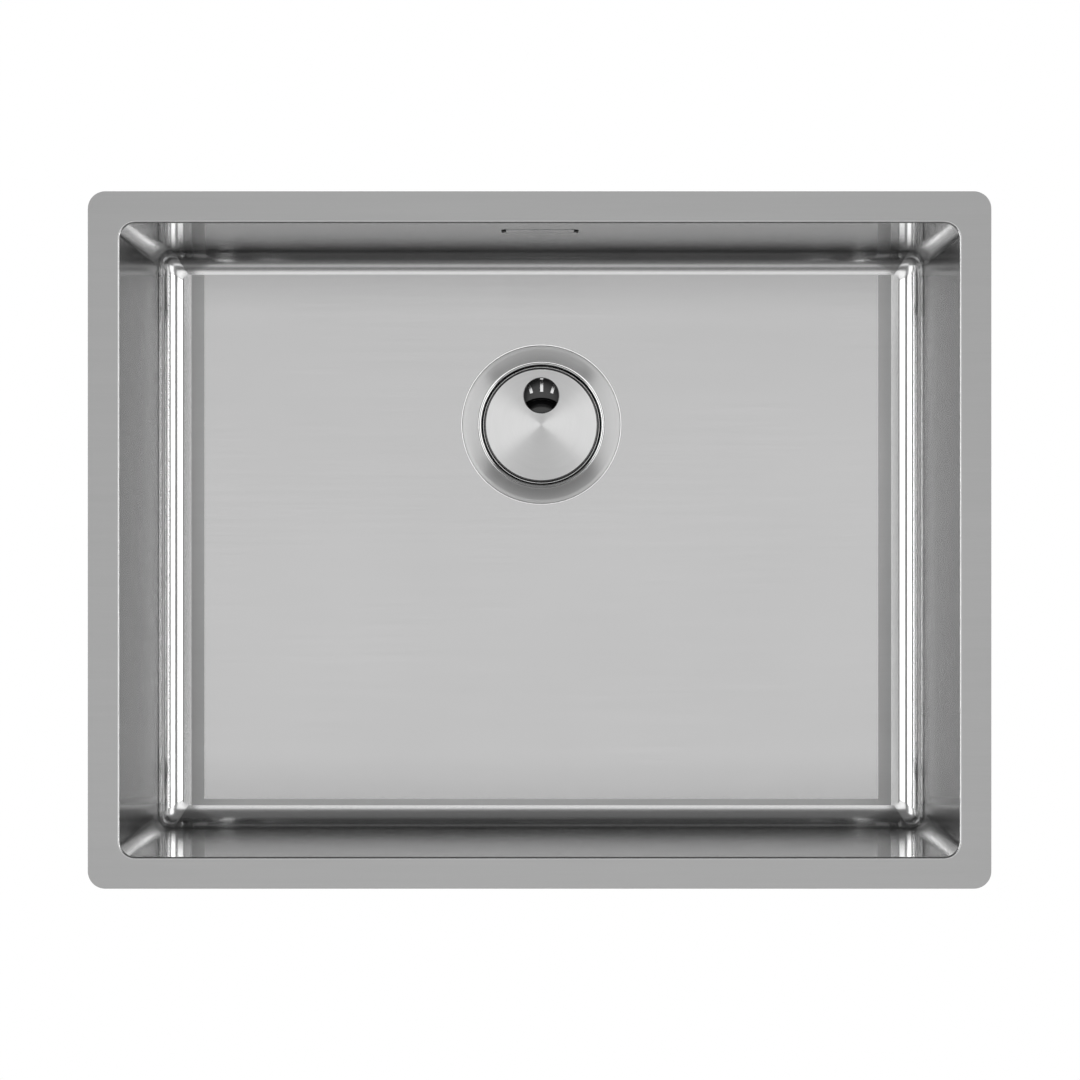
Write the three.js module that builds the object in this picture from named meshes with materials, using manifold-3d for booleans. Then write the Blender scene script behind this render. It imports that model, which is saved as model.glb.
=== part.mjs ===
/**
 * Undermount kitchen sink: a stainless bowl with a flat flange, its basket waste under a round
 * cover plate, and an overflow in the back wall that drains into the waste through a ribbed hose.
 *
 * Sizes are in millimetres. The origin is the centre of the bowl's opening on the flange's top
 * face, +X points right, +Y to the back wall with the overflow, and +Z up.
 */
import * as THREE from 'three';
import { mergeVertices, toCreasedNormals } from 'three/addons/utils/BufferGeometryUtils.js';
import Module from 'manifold-3d';

const manifold = await Module();
manifold.setup();

// ---------------------------------------------------------------- driving sizes

const SEAT_GAP = 0.3;           // between two pieces that rest on each other
const CUT_OVER = 5;             // how far a cutting tool stands out of the face that it cuts
const QUARTER = Math.PI / 2;

// Bowl: inside sizes, sheet and roundings
const BOWL_WIDTH = 530;
const BOWL_BREADTH = 400;
const BOWL_DEPTH = 200;
const SHEET = 1;
const FLANGE_WIDTH = 20;
const FLANGE_CORNER = 11;
const UPRIGHT_CORNER = 10;
const FLOOR_CORNER = 4;
const FLOOR_FILLET = 15;
const RIM_ROUND = 1.25;

// Sound pads on the outside of the walls and under the floor
const PAD_THICKNESS = 3;
const PAD_CORNER = 12;
const SIDE_PAD_MARGIN = 70;     // from a side wall's ends to its pad
const LONG_PAD_MARGIN = 65;     // from the front and back walls' ends to their pads
const PAD_TOP_MARGIN = 51;      // from the flange down to a wall pad
const PAD_EDGE = 14;            // from a wall pad's lower edge to the start of the floor's rounding
const BACK_PAD_GAP = 8.3;       // from the hose's upper union nut down to the back pad
const FLOOR_PAD_MARGIN = 48;    // from the bowl's inside to a floor pad's outer edge
const FLOOR_PAD_GAP = 24;       // between two floor pads
const DRAIN_PAD_GAP = 14;       // from the waste's clamping flange to a floor pad

// Cover plate over the waste
const COVER_RADIUS = 40;
const COVER_SHEET = 1.5;
const COVER_EDGE_ROUND = 0.8;
const FINGER_RADIUS = 12;
const FINGER_BACK = 20.5;       // finger hole's centre behind the plate's
const FINGER_BEVEL = 0.7;

// Waste cup: pressed steel, its flange dished down to a rounded lip round the cover plate
const DRAIN_BACK = 80.5;        // waste's axis behind the bowl's centre
const COVER_PLAY = 1;
const LIP_ROUND = 3.4;
const DISH_WIDTH = 8.6;
const DISH_DEPTH = 3.4;
const RIM_LAND = 2;
const CUP_SHEET = 1;
const THROAT_DROP = 4.7;        // straight throat between the lip's rounding and the ledge
const LEDGE_WIDTH = 3;
const CUP_WALL_DROP = 38.5;     // from the ledge to the cup's floor
const CUP_ROUND = 4;
const WINDOW_COUNT = 6;
const WINDOW_INNER = 8.5;
const WINDOW_OUTER = 16.5;
const WINDOW_WEB = 3;           // steel left between two windows, at their inner edge

// Pressed seat in the bowl's floor that the cup's flange sinks into
const RECESS_PLAY = 0.4;
const RECESS_SLOPE = 1.2;
const RECESS_ROUND = 1.2;
const DRAIN_HOLE_PLAY = 3;
const FLANGE_SEAL_THICKNESS = 2;
const FLANGE_SEAL_WIDTH = 3.9;
const UNDER_SEAL_THICKNESS = 3;
const SEAL_MARGIN = 0.6;

// Filter basket with its stopper seal
const BASKET_PLAY = 0.6;
const BASKET_RIM = 2;
const BASKET_WALL = 1.6;
const BASKET_FLOOR = 2;
const BASKET_LIFT = 4;          // clear height under the basket's floor
const DOME_RADIUS = 20;
const DOME_TAPER = 1.5;
const DOME_HEIGHT = 24;
const DOME_ROUND = 6;
const SLOT_COUNT = 22;
const SLOT_WIDTH = 2.2;
const SLOT_RISE = 10;           // how far the slots climb the basket's wall
const SLOT_START = 0.8;         // from the stopper seal to the slots
const STOPPER_WIDTH = 4;
const STOPPER_LIP = 1.4;

// Waste body under the bowl
const NECK_PLAY = 1.5;
const BODY_WALL = 2.5;
const BODY_FLANGE = 4;
const BODY_FLANGE_OVERHANG = 1;
const BODY_SWELL = 3;
const BODY_CLEAR = 4;           // from the cup's floor to the start of the funnel
const FUNNEL_DROP = 16;
const OUTLET_BORE = 20;
const OUTLET_RADIUS = 23.9;     // 1 1/2 inch pipe thread, outside
const OUTLET_LENGTH = 30;
const GUSSET_COUNT = 12;
const GUSSET_THICKNESS = 2;
const GUSSET_HEIGHT = 14;
const INLET_DROP = 35;          // overflow inlet's axis below the bowl's floor
const INLET_REACH = 73;         // from the waste's axis to the inlet's end

// Clamp screw through the cup into the body's brass insert
const SCREW_RADIUS = 3;
const SCREW_PLAY = 0.5;
const SCREW_HEAD_RADIUS = 6;
const SCREW_HEAD_HEIGHT = 3.6;
const SCREW_SLOT_WIDTH = 1.6;
const SCREW_SLOT_DEPTH = 1.8;
const SCREW_TAIL = 3;           // screw's end below the insert
const WASHER_RADIUS = 7.4;
const WASHER_THICKNESS = 1.2;
const INSERT_RADIUS = 5.8;      // across the corners of its hexagon
const INSERT_LENGTH = 10;
const BOSS_WALL = 2.6;
const BOSS_CAP = 3;
const BOSS_CLEAR = 10;          // from the cup's floor down to the boss
const SPIDER_COUNT = 3;
const SPIDER_THICKNESS = 3;
const SPIDER_HEIGHT = 9;

// Overflow: cut-out in the back wall, cover plate, seal and head
const OVERFLOW_DROP = 51;       // its centre below the flange
const SLOT_OPENING_WIDTH = 50;
const SLOT_OPENING_HEIGHT = 26;
const SLOT_OPENING_CORNER = 5;
const PLATE_MARGIN = 3;         // open gap round the overflow's plate
const PLATE_SHEET = 1.2;
const PLATE_POST_RADIUS = 3;
const PLATE_POST_SPAN = 28;
const PLATE_POST_LENGTH = 16;
const OVERFLOW_SEAL_THICKNESS = 2;
const HEAD_FLANGE_THICKNESS = 3;
const HEAD_FLANGE_BORDER = 9;   // flange beyond the opening, above and below
const HEAD_FLANGE_EAR = 23;     // flange beyond the opening, left and right
const HEAD_FLANGE_CORNER = 8;
const HEAD_DEPTH = 23.5;        // from the bowl's inside to the back of the head
const HEAD_WALL = 2.5;
const HEAD_SPOUT_BACK = 15.5;   // spout's axis behind the bowl's inside
const HEAD_SPOUT_DROP = 41;     // spout's end below the overflow's centre
const SOCKET_WALL = 1.9;
const SOCKET_MOUTH = 6;         // sockets for the plate's posts start this far behind the wall
const STUD_RADIUS = 2.5;
const STUD_SPAN = 78;
const STUD_LENGTH = 14;
const STUD_PLAY = 0.5;
const NUT_RADIUS = 4.6;         // across the corners of its hexagon
const NUT_THICKNESS = 4;

// Pipe joint at both ends of the overflow hose
const PIPE_RADIUS = 10;
const PIPE_BORE = 7.6;
const PIPE_PLAY = 0.4;
const UNION_WALL = 2.1;
const UNION_GRIP_LENGTH = 13;   // thread covered by the union nut
const UNION_LIP = 1.8;
const UNION_RIB_COUNT = 10;
const UNION_RIB_SIZE = 1.4;
const JOINT_SEAL_THICKNESS = 2;
const JOINT_SEAL_BORE = 7.2;

// Ribbed overflow hose
const HOSE_BORE = 6.6;
const HOSE_CUFF_RADIUS = 8.4;
const HOSE_CUFF_LENGTH = 20;
const HOSE_COLLAR = 2;
const HOSE_ROOT_RADIUS = 7.8;
const HOSE_CREST_RADIUS = 9.8;
const HOSE_RIB_PITCH = 3.8;
const HOSE_BEND_RADIUS = 40;
const HOSE_SIDES = 8;
const RIBS_PER_BORE_RING = 5;

// Faceting
const ROUND_SIDES = 36;
const SMALL_SIDES = 12;
const CORNER_STEPS = 2;         // pairs of facets in a rounded corner
const FILLET_STEPS = 5;
const RIM_STEPS = 3;
const CURVE_STEPS = 3;
const CREASE_ANGLE = Math.PI / 5;

// ---------------------------------------------------------------- sizes that follow

const floorZ = -BOWL_DEPTH;
const throatRadius = COVER_RADIUS + COVER_PLAY;
const lipRadius = throatRadius + LIP_ROUND;
const flangeRadius = lipRadius + DISH_WIDTH + RIM_LAND;
const cupWallRadius = throatRadius - LEDGE_WIDTH;
const lipFootZ = -(DISH_DEPTH + LIP_ROUND);
const ledgeZ = lipFootZ - THROAT_DROP;
const cupFloorZ = ledgeZ - CUP_WALL_DROP;
const seatZ = -(DISH_DEPTH + CUP_SHEET + FLANGE_SEAL_THICKNESS + 2 * SEAT_GAP);
const recessRadius = flangeRadius + RECESS_PLAY;
const seatRadius = recessRadius - RECESS_SLOPE;
const drainHoleRadius = throatRadius + CUP_SHEET + DRAIN_HOLE_PLAY;
const underSealTopZ = seatZ - SHEET - SEAT_GAP;
const bodyTopZ = underSealTopZ - UNDER_SEAL_THICKNESS - SEAT_GAP;
const neckRadius = throatRadius + CUP_SHEET + NECK_PLAY;
const bodyFlangeRadius = flangeRadius + BODY_FLANGE_OVERHANG;
const bodyRadius = neckRadius + BODY_SWELL;
const funnelZ = cupFloorZ - BODY_CLEAR;
const outletTopZ = funnelZ - FUNNEL_DROP;
const outletEndZ = outletTopZ - OUTLET_LENGTH;
const washerZ = cupFloorZ + SEAT_GAP;
const screwHeadZ = washerZ + WASHER_THICKNESS + SEAT_GAP;
const bossTopZ = cupFloorZ - BOSS_CLEAR;
const insertTopZ = bossTopZ - BOSS_CAP;
const insertPocketRadius = INSERT_RADIUS + SEAT_GAP;
const bossRadius = insertPocketRadius + BOSS_WALL;
const basketFloorZ = cupFloorZ + BASKET_LIFT;
const basketRimTopZ = ledgeZ + SEAT_GAP + BASKET_RIM;
const basketWallRadius = cupWallRadius - BASKET_PLAY;
const stopperInner = DOME_RADIUS + SEAT_GAP;
const slotStart = stopperInner + STOPPER_WIDTH + SLOT_START;
const coverTopZ = -DISH_DEPTH;
const coverFootZ = basketRimTopZ + SEAT_GAP;
const headFlangeY = SHEET + OVERFLOW_SEAL_THICKNESS + 2 * SEAT_GAP;
const jointLength = JOINT_SEAL_THICKNESS + 2 * SEAT_GAP;
const unionLipZ = jointLength + HOSE_COLLAR + SEAT_GAP;
const spoutEndZ = -OVERFLOW_DROP - HEAD_SPOUT_DROP;
const upperNutEndZ = spoutEndZ - unionLipZ - UNION_LIP;

// ---------------------------------------------------------------- finishes

const BRUSHED_STEEL = { color: 0xb9b9b9, roughness: 0.32, metalness: 1 };
const BRIGHT_STEEL = { color: 0xc8c8c8, roughness: 0.22, metalness: 1 };
const BLACK_PLASTIC = { color: 0x141414, roughness: 0.5, metalness: 0 };
const WHITE_PLASTIC = { color: 0xdcdcd8, roughness: 0.5, metalness: 0 };
const GREY_PLASTIC = { color: 0x6d6f70, roughness: 0.55, metalness: 0 };
const PAD_RUBBER = { color: 0x4a4b4c, roughness: 0.9, metalness: 0 };
const SEAL_RUBBER = { color: 0x202020, roughness: 0.8, metalness: 0 };
const BRASS = { color: 0xb08d4a, roughness: 0.35, metalness: 1 };

// ---------------------------------------------------------------- solid tools

/** A closed geometry as a manifold solid, without its degenerate triangles. */
function solid(geometry) {
  const bare = geometry.clone();
  bare.deleteAttribute('normal');
  bare.deleteAttribute('uv');
  const merged = mergeVertices(bare);
  const corners = merged.index.array;
  const triangles = [];
  for (let i = 0; i < corners.length; i += 3) {
    const [a, b, c] = [corners[i], corners[i + 1], corners[i + 2]];
    if (a !== b && b !== c && c !== a) triangles.push(a, b, c);
  }
  return new manifold.Manifold(new manifold.Mesh({
    numProp: 3,
    vertProperties: new Float32Array(merged.attributes.position.array),
    triVerts: new Uint32Array(triangles),
  }));
}

/** A manifold solid as a geometry. */
function geometryOf(body) {
  const mesh = body.getMesh();
  const geometry = new THREE.BufferGeometry();
  geometry.setAttribute('position', new THREE.BufferAttribute(mesh.vertProperties, 3));
  geometry.setIndex(new THREE.BufferAttribute(mesh.triVerts, 1));
  return geometry;
}

/** A geometry that is joined with some others and then cut by some others. */
function combine(base, joined, cutters) {
  let body = solid(base);
  for (const geometry of joined) body = body.add(solid(geometry));
  for (const geometry of cutters) body = body.subtract(solid(geometry));
  return geometryOf(body);
}

/** A profile of (radius, height) points, turned about the Z axis. */
function revolve(profile, sides = ROUND_SIDES) {
  return new THREE.LatheGeometry(profile, sides).rotateX(QUARTER);
}

/** A closed ring of rectangular section about the Z axis. */
function ring(inner, outer, lowZ, highZ, sides = ROUND_SIDES) {
  const corners = [[inner, lowZ], [outer, lowZ], [outer, highZ], [inner, highZ], [inner, lowZ]];
  return revolve(corners.map(([radius, z]) => new THREE.Vector2(radius, z)), sides);
}

/** A round bar along Z between two heights. */
function bar(radius, lowZ, highZ, sides = SMALL_SIDES) {
  const height = highZ - lowZ;
  return new THREE.CylinderGeometry(radius, radius, height, sides)
    .rotateX(QUARTER)
    .translate(0, 0, lowZ + height / 2);
}

/** A round bar along Y between two places. */
function barAlongY(radius, nearY, farY, sides = SMALL_SIDES) {
  return bar(radius, nearY, farY, sides).rotateX(-QUARTER);
}

/** A rectangle with round corners about the origin. */
function roundedRectangle(width, height, radius) {
  const [x, y] = [width / 2, height / 2];
  const shape = new THREE.Shape();
  shape.moveTo(x, radius - y);
  shape.absarc(x - radius, y - radius, radius, 0, QUARTER);
  shape.absarc(radius - x, y - radius, radius, QUARTER, 2 * QUARTER);
  shape.absarc(radius - x, radius - y, radius, 2 * QUARTER, 3 * QUARTER);
  shape.absarc(x - radius, radius - y, radius, 3 * QUARTER, 4 * QUARTER);
  return shape;
}

/** A flat plate of a shape, standing on Z = 0. */
function plate(shape, thickness) {
  return new THREE.ExtrudeGeometry(shape, {
    depth: thickness,
    bevelEnabled: false,
    curveSegments: CORNER_STEPS,
  });
}

/** A plate of an upright shape, from nearY back to farY: the shape's own Y is the height. */
function uprightPlate(shape, nearY, farY) {
  return plate(shape, farY - nearY).rotateX(QUARTER).translate(0, farY, 0);
}

/** The rounded rectangle of one layer of a loft, as points at its height. */
function layer(width, breadth, radius, z) {
  const outline = roundedRectangle(width, breadth, radius).getPoints(CORNER_STEPS);
  const points = outline.map((point) => new THREE.Vector3(point.x, point.y, z));
  return points.filter((point, i) => i === 0 || point.distanceTo(points[i - 1]) > Number.EPSILON);
}

/** A closed solid through layers of equally many points, from the top one down. */
function loft(layers) {
  const count = layers[0].length;
  const points = layers.flat();
  const indices = [];
  for (let row = 0; row + 1 < layers.length; row += 1) {
    for (let i = 0; i < count; i += 1) {
      const next = (i + 1) % count;
      const [a, b] = [row * count + i, row * count + next];
      indices.push(a, a + count, b, b, a + count, b + count);
    }
  }
  const last = (layers.length - 1) * count;
  for (let i = 1; i + 1 < count; i += 1) {
    indices.push(0, i, i + 1, last, last + i + 1, last + i);
  }
  const geometry = new THREE.BufferGeometry().setFromPoints(points);
  geometry.setIndex(indices);
  return geometry;
}

/** A path moved sideways to its left-hand side, with mitred corners. */
function offsetPath(points, distance) {
  return points.map((point, i) => {
    const before = points[Math.max(i - 1, 0)];
    const after = points[Math.min(i + 1, points.length - 1)];
    const arriving = (i > 0 ? point.clone().sub(before) : after.clone().sub(point)).normalize();
    const leaving = (point === after ? arriving.clone() : after.clone().sub(point)).normalize();
    const along = arriving.clone().add(leaving).normalize();
    const reach = distance / along.dot(arriving);
    return new THREE.Vector2(point.x - along.y * reach, point.y + along.x * reach);
  });
}

/** The closed section of a sheet whose upper face follows a path from the rim to the middle. */
function sheetSection(path, thickness) {
  const section = [...path, ...offsetPath(path, thickness).reverse()];
  return [...section, section[0]];
}

/** A geometry copied round the Z axis. */
function aroundZ(geometry, count, firstAngle = 0) {
  return Array.from({ length: count }, (_, i) => (
    geometry.clone().rotateZ(firstAngle + (2 * Math.PI * i) / count)
  ));
}

/** A named mesh with its own material. */
function part(name, geometry, finish) {
  const shaded = toCreasedNormals(geometry, CREASE_ANGLE);
  const mesh = new THREE.Mesh(shaded, new THREE.MeshStandardMaterial(finish));
  mesh.name = name;
  return mesh;
}

// ---------------------------------------------------------------- bowl

/** One layer of the bowl's floor rounding, a skin's thickness outside its inner face. */
function filletLayer(angle, skin) {
  const run = 1 - Math.cos(angle);
  const inset = FLOOR_FILLET * run - skin * Math.cos(angle);
  const radius = THREE.MathUtils.lerp(UPRIGHT_CORNER, FLOOR_CORNER, run) + skin * Math.cos(angle);
  const z = floorZ + FLOOR_FILLET - (FLOOR_FILLET + skin) * Math.sin(angle);
  return layer(BOWL_WIDTH - 2 * inset, BOWL_BREADTH - 2 * inset, radius, z);
}

/** The layers of the floor rounding, from the wall down to the floor. */
function filletLayers(skin) {
  const steps = Array.from({ length: FILLET_STEPS + 1 }, (_, i) => (QUARTER * i) / FILLET_STEPS);
  return steps.map((angle) => filletLayer(angle, skin));
}

/** The hollow of the bowl, opened by its rounded rim. */
function bowlHollow() {
  const layers = [];
  for (let i = RIM_STEPS; i > 0; i -= 1) {
    const angle = (QUARTER * i) / RIM_STEPS;
    const out = RIM_ROUND * (1 - Math.cos(angle));
    const z = RIM_ROUND * (Math.sin(angle) - 1);
    layers.push(layer(BOWL_WIDTH + 2 * out, BOWL_BREADTH + 2 * out, UPRIGHT_CORNER + out, z));
  }
  const mouth = layers[0].map((point) => point.clone().setZ(CUT_OVER));
  const wallTop = layer(BOWL_WIDTH, BOWL_BREADTH, UPRIGHT_CORNER, -RIM_ROUND);
  return loft([mouth, ...layers, wallTop, ...filletLayers(0)]);
}

/** The outside of the bowl below its flange. */
function bowlOutside() {
  const [width, breadth] = [BOWL_WIDTH + 2 * SHEET, BOWL_BREADTH + 2 * SHEET];
  const top = layer(width, breadth, UPRIGHT_CORNER + SHEET, -SHEET / 2);
  return loft([top, ...filletLayers(SHEET)]);
}

/** The upper face of the pressed drain seat, from the floor inwards. */
function seatPath() {
  const slope = new THREE.Vector2(-RECESS_SLOPE, seatZ).normalize();
  const path = new THREE.Path();
  path.moveTo(recessRadius + RECESS_ROUND, 0);
  path.quadraticCurveTo(
    recessRadius, 0,
    recessRadius + slope.x * RECESS_ROUND, slope.y * RECESS_ROUND,
  );
  path.lineTo(seatRadius - slope.x * RECESS_ROUND, seatZ - slope.y * RECESS_ROUND);
  path.quadraticCurveTo(seatRadius, seatZ, seatRadius - RECESS_ROUND, seatZ);
  path.lineTo(0, seatZ);
  return path.getPoints(CURVE_STEPS);
}

/** The part of a turned solid between a path and a height above it, out to the axis. */
function turnedFill(path, topZ) {
  const first = path[0];
  const last = path[path.length - 1];
  const profile = [new THREE.Vector2(0, topZ), new THREE.Vector2(first.x, topZ), ...path];
  if (last.x > 0) profile.push(new THREE.Vector2(0, last.y));
  return revolve(profile.reverse());
}

function makeBowl() {
  const flange = plate(
    roundedRectangle(
      BOWL_WIDTH + 2 * FLANGE_WIDTH,
      BOWL_BREADTH + 2 * FLANGE_WIDTH,
      FLANGE_CORNER,
    ),
    SHEET,
  ).translate(0, 0, -SHEET);
  const seat = seatPath();
  const seatOutside = turnedFill(offsetPath(seat, SHEET), -SHEET / 2)
    .translate(0, DRAIN_BACK, floorZ);
  const seatHollow = turnedFill(seat, CUT_OVER).translate(0, DRAIN_BACK, floorZ);
  const drainHole = bar(drainHoleRadius, seatZ - CUT_OVER, 0, ROUND_SIDES)
    .translate(0, DRAIN_BACK, floorZ);
  const backY = BOWL_BREADTH / 2;
  const overflowHole = uprightPlate(
    roundedRectangle(SLOT_OPENING_WIDTH, SLOT_OPENING_HEIGHT, SLOT_OPENING_CORNER),
    backY - CUT_OVER,
    backY + SHEET + CUT_OVER,
  ).translate(0, 0, -OVERFLOW_DROP);
  const studs = [-1, 1].map((side) => (
    barAlongY(STUD_RADIUS, backY + SHEET / 2, backY + SHEET + STUD_LENGTH)
      .translate((side * STUD_SPAN) / 2, 0, -OVERFLOW_DROP)
  ));
  const geometry = combine(
    flange,
    [bowlOutside(), seatOutside, ...studs],
    [bowlHollow(), seatHollow, drainHole, overflowHole],
  );
  return part('sink_bowl', geometry, BRUSHED_STEEL);
}

// ---------------------------------------------------------------- sound pads

/** A sound pad lying flat, its thickness along Z. */
function padGeometry(length, height) {
  return plate(roundedRectangle(length, height, PAD_CORNER), PAD_THICKNESS);
}

/** The pads glued to the four walls. */
function makeWallPads() {
  const [wallX, wallY] = [BOWL_WIDTH / 2 + SHEET + SEAT_GAP, BOWL_BREADTH / 2 + SHEET + SEAT_GAP];
  const [sideLength, longLength] = [
    BOWL_BREADTH - 2 * SIDE_PAD_MARGIN,
    BOWL_WIDTH - 2 * LONG_PAD_MARGIN,
  ];
  const lowZ = floorZ + FLOOR_FILLET + PAD_EDGE;
  const height = -PAD_TOP_MARGIN - lowZ;
  const backHeight = upperNutEndZ - BACK_PAD_GAP - lowZ;
  const walls = [
    ['pad_right', sideLength, height, wallX, 0, 0],
    ['pad_back', longLength, backHeight, 0, wallY, 1],
    ['pad_left', sideLength, height, -wallX, 0, 2],
    ['pad_front', longLength, height, 0, -wallY, 3],
  ];
  return walls.map(([name, length, padHeight, x, y, turns]) => {
    const pad = part(name, padGeometry(length, padHeight), PAD_RUBBER);
    pad.rotation.set(QUARTER, QUARTER + turns * QUARTER, 0, 'ZXY');
    pad.position.set(x, y, lowZ + padHeight / 2);
    return pad;
  });
}

/** The pads glued under the floor: one in front of the waste and one at each side of it. */
function makeFloorPads() {
  const [outerX, outerY] = [BOWL_WIDTH / 2 - FLOOR_PAD_MARGIN, BOWL_BREADTH / 2 - FLOOR_PAD_MARGIN];
  const clearRadius = bodyFlangeRadius + DRAIN_PAD_GAP;
  const frontEdge = DRAIN_BACK - clearRadius;
  const sideFront = frontEdge + FLOOR_PAD_GAP;
  const sideLength = outerX - clearRadius;
  const z = floorZ - SHEET - SEAT_GAP - PAD_THICKNESS;
  const front = part(
    'pad_floor_front',
    padGeometry(2 * outerX, frontEdge + outerY),
    PAD_RUBBER,
  );
  front.position.set(0, (frontEdge - outerY) / 2, z);
  const sides = [['pad_floor_left', -1], ['pad_floor_right', 1]].map(([name, side]) => {
    const pad = part(name, padGeometry(sideLength, outerY - sideFront), PAD_RUBBER);
    pad.position.set(side * (clearRadius + sideLength / 2), (outerY + sideFront) / 2, z);
    return pad;
  });
  return [front, ...sides];
}

// ---------------------------------------------------------------- waste, round its own axis

/** The upper face of the cup's flange: flat rim, dish and rounded lip, down to the throat. */
function flangePath() {
  const dishEdge = lipRadius + DISH_WIDTH;
  const path = new THREE.Path();
  path.moveTo(flangeRadius, 0);
  path.lineTo(dishEdge, 0);
  path.quadraticCurveTo(lipRadius + DISH_WIDTH / 2, -DISH_DEPTH, lipRadius, -DISH_DEPTH);
  path.quadraticCurveTo(throatRadius, -DISH_DEPTH, throatRadius, lipFootZ);
  return path;
}

/** The whole upper face of the cup, from its rim to the screw's hole. */
function cupPath() {
  const path = flangePath();
  path.lineTo(throatRadius, ledgeZ);
  path.lineTo(cupWallRadius, ledgeZ);
  path.lineTo(cupWallRadius, cupFloorZ + CUP_ROUND);
  path.quadraticCurveTo(cupWallRadius, cupFloorZ, cupWallRadius - CUP_ROUND, cupFloorZ);
  path.lineTo(SCREW_RADIUS + SCREW_PLAY, cupFloorZ);
  return path.getPoints(CURVE_STEPS);
}

/** One drain window in the cup's floor: a sector of a ring. */
function drainWindow() {
  const half = Math.PI / WINDOW_COUNT - WINDOW_WEB / 2 / WINDOW_INNER;
  const shape = new THREE.Shape();
  shape.absarc(0, 0, WINDOW_OUTER, -half, half);
  shape.absarc(0, 0, WINDOW_INNER, half, -half, true);
  return plate(shape, 2 * CUT_OVER).translate(0, 0, cupFloorZ - CUT_OVER);
}

function makeCup() {
  const cup = revolve(sheetSection(cupPath(), CUP_SHEET));
  return part('waste_cup', combine(cup, [], aroundZ(drainWindow(), WINDOW_COUNT)), BRIGHT_STEEL);
}

/** The seal between the cup's flange and the bowl's pressed seat, moulded to the flange. */
function makeFlangeSeal() {
  const inner = drainHoleRadius + SEAL_MARGIN;
  const blank = ring(inner, inner + FLANGE_SEAL_WIDTH, seatZ + SEAT_GAP, 0);
  const path = flangePath().getPoints(CURVE_STEPS);
  const flange = turnedFill(offsetPath(path, CUP_SHEET + SEAT_GAP), CUT_OVER);
  return part('flange_seal', combine(blank, [], [flange]), SEAL_RUBBER);
}

function makeUnderSeal() {
  const lowZ = underSealTopZ - UNDER_SEAL_THICKNESS;
  const outer = bodyFlangeRadius - SEAL_MARGIN;
  return part('under_seal', ring(neckRadius, outer, lowZ, underSealTopZ), SEAL_RUBBER);
}

/** The inside of the waste body, from its neck to the outlet. */
function bodyInside() {
  const path = new THREE.Path();
  path.moveTo(neckRadius, bodyTopZ + CUT_OVER);
  path.lineTo(neckRadius, bodyTopZ - BODY_FLANGE);
  path.lineTo(bodyRadius, bodyTopZ - BODY_FLANGE - BODY_SWELL);
  path.lineTo(bodyRadius, funnelZ);
  path.quadraticCurveTo(bodyRadius, outletTopZ, OUTLET_BORE, outletTopZ);
  path.lineTo(OUTLET_BORE, outletEndZ - CUT_OVER);
  return path.getPoints(CURVE_STEPS);
}

/** The outside of the waste body with its clamping flange and threaded outlet. */
function bodyOutside() {
  const wall = bodyRadius + BODY_WALL;
  const outletShoulder = outletTopZ - BODY_WALL;
  const path = new THREE.Path();
  path.moveTo(bodyFlangeRadius, bodyTopZ);
  path.lineTo(bodyFlangeRadius, bodyTopZ - BODY_FLANGE);
  path.lineTo(wall, bodyTopZ - BODY_FLANGE);
  path.lineTo(wall, funnelZ);
  path.quadraticCurveTo(wall, outletShoulder, OUTLET_RADIUS, outletShoulder);
  path.lineTo(OUTLET_RADIUS, outletEndZ);
  return path.getPoints(CURVE_STEPS);
}

/** A stiffening rib under the clamping flange. */
function gusset() {
  const topZ = bodyTopZ - BODY_FLANGE;
  const wall = bodyRadius + BODY_WALL / 2;
  const shape = new THREE.Shape();
  shape.moveTo(wall, topZ + BODY_FLANGE / 2);
  shape.lineTo(bodyFlangeRadius - SEAL_MARGIN, topZ + BODY_FLANGE / 2);
  shape.lineTo(bodyFlangeRadius - SEAL_MARGIN, topZ);
  shape.lineTo(wall, topZ - GUSSET_HEIGHT);
  return plate(shape, GUSSET_THICKNESS).translate(0, 0, -GUSSET_THICKNESS / 2).rotateX(QUARTER);
}

/** One arm of the spider that carries the clamp screw's boss across the waste body. */
function spiderArm() {
  const length = bodyRadius;
  return new THREE.BoxGeometry(length, SPIDER_THICKNESS, SPIDER_HEIGHT)
    .translate(length / 2, 0, bossTopZ - SPIDER_HEIGHT / 2);
}

function makeWasteBody() {
  const outside = solid(turnedFill(bodyOutside(), bodyTopZ));
  const inlet = solid(barAlongY(PIPE_RADIUS, bodyRadius, INLET_REACH).translate(0, 0, -INLET_DROP));
  const inletBore = solid(barAlongY(PIPE_BORE, 0, INLET_REACH + CUT_OVER)
    .translate(0, 0, -INLET_DROP));
  let shell = outside.add(inlet);
  for (const rib of aroundZ(gusset(), GUSSET_COUNT, Math.PI / GUSSET_COUNT)) {
    shell = shell.add(solid(rib));
  }
  shell = shell.subtract(solid(turnedFill(bodyInside(), bodyTopZ + CUT_OVER))).subtract(inletBore);
  const bossEndZ = insertTopZ - INSERT_LENGTH;
  let spider = solid(bar(bossRadius, bossEndZ, bossTopZ));
  for (const arm of aroundZ(spiderArm(), SPIDER_COUNT, QUARTER)) spider = spider.add(solid(arm));
  const pocket = bar(insertPocketRadius, bossEndZ - CUT_OVER, insertTopZ, 6);
  const screwHole = bar(SCREW_RADIUS + SCREW_PLAY, bossEndZ - CUT_OVER, bossTopZ + CUT_OVER);
  const body = shell.add(spider.intersect(outside)).subtract(solid(pocket)).subtract(solid(screwHole));
  return part('waste_body', geometryOf(body), WHITE_PLASTIC);
}

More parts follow.
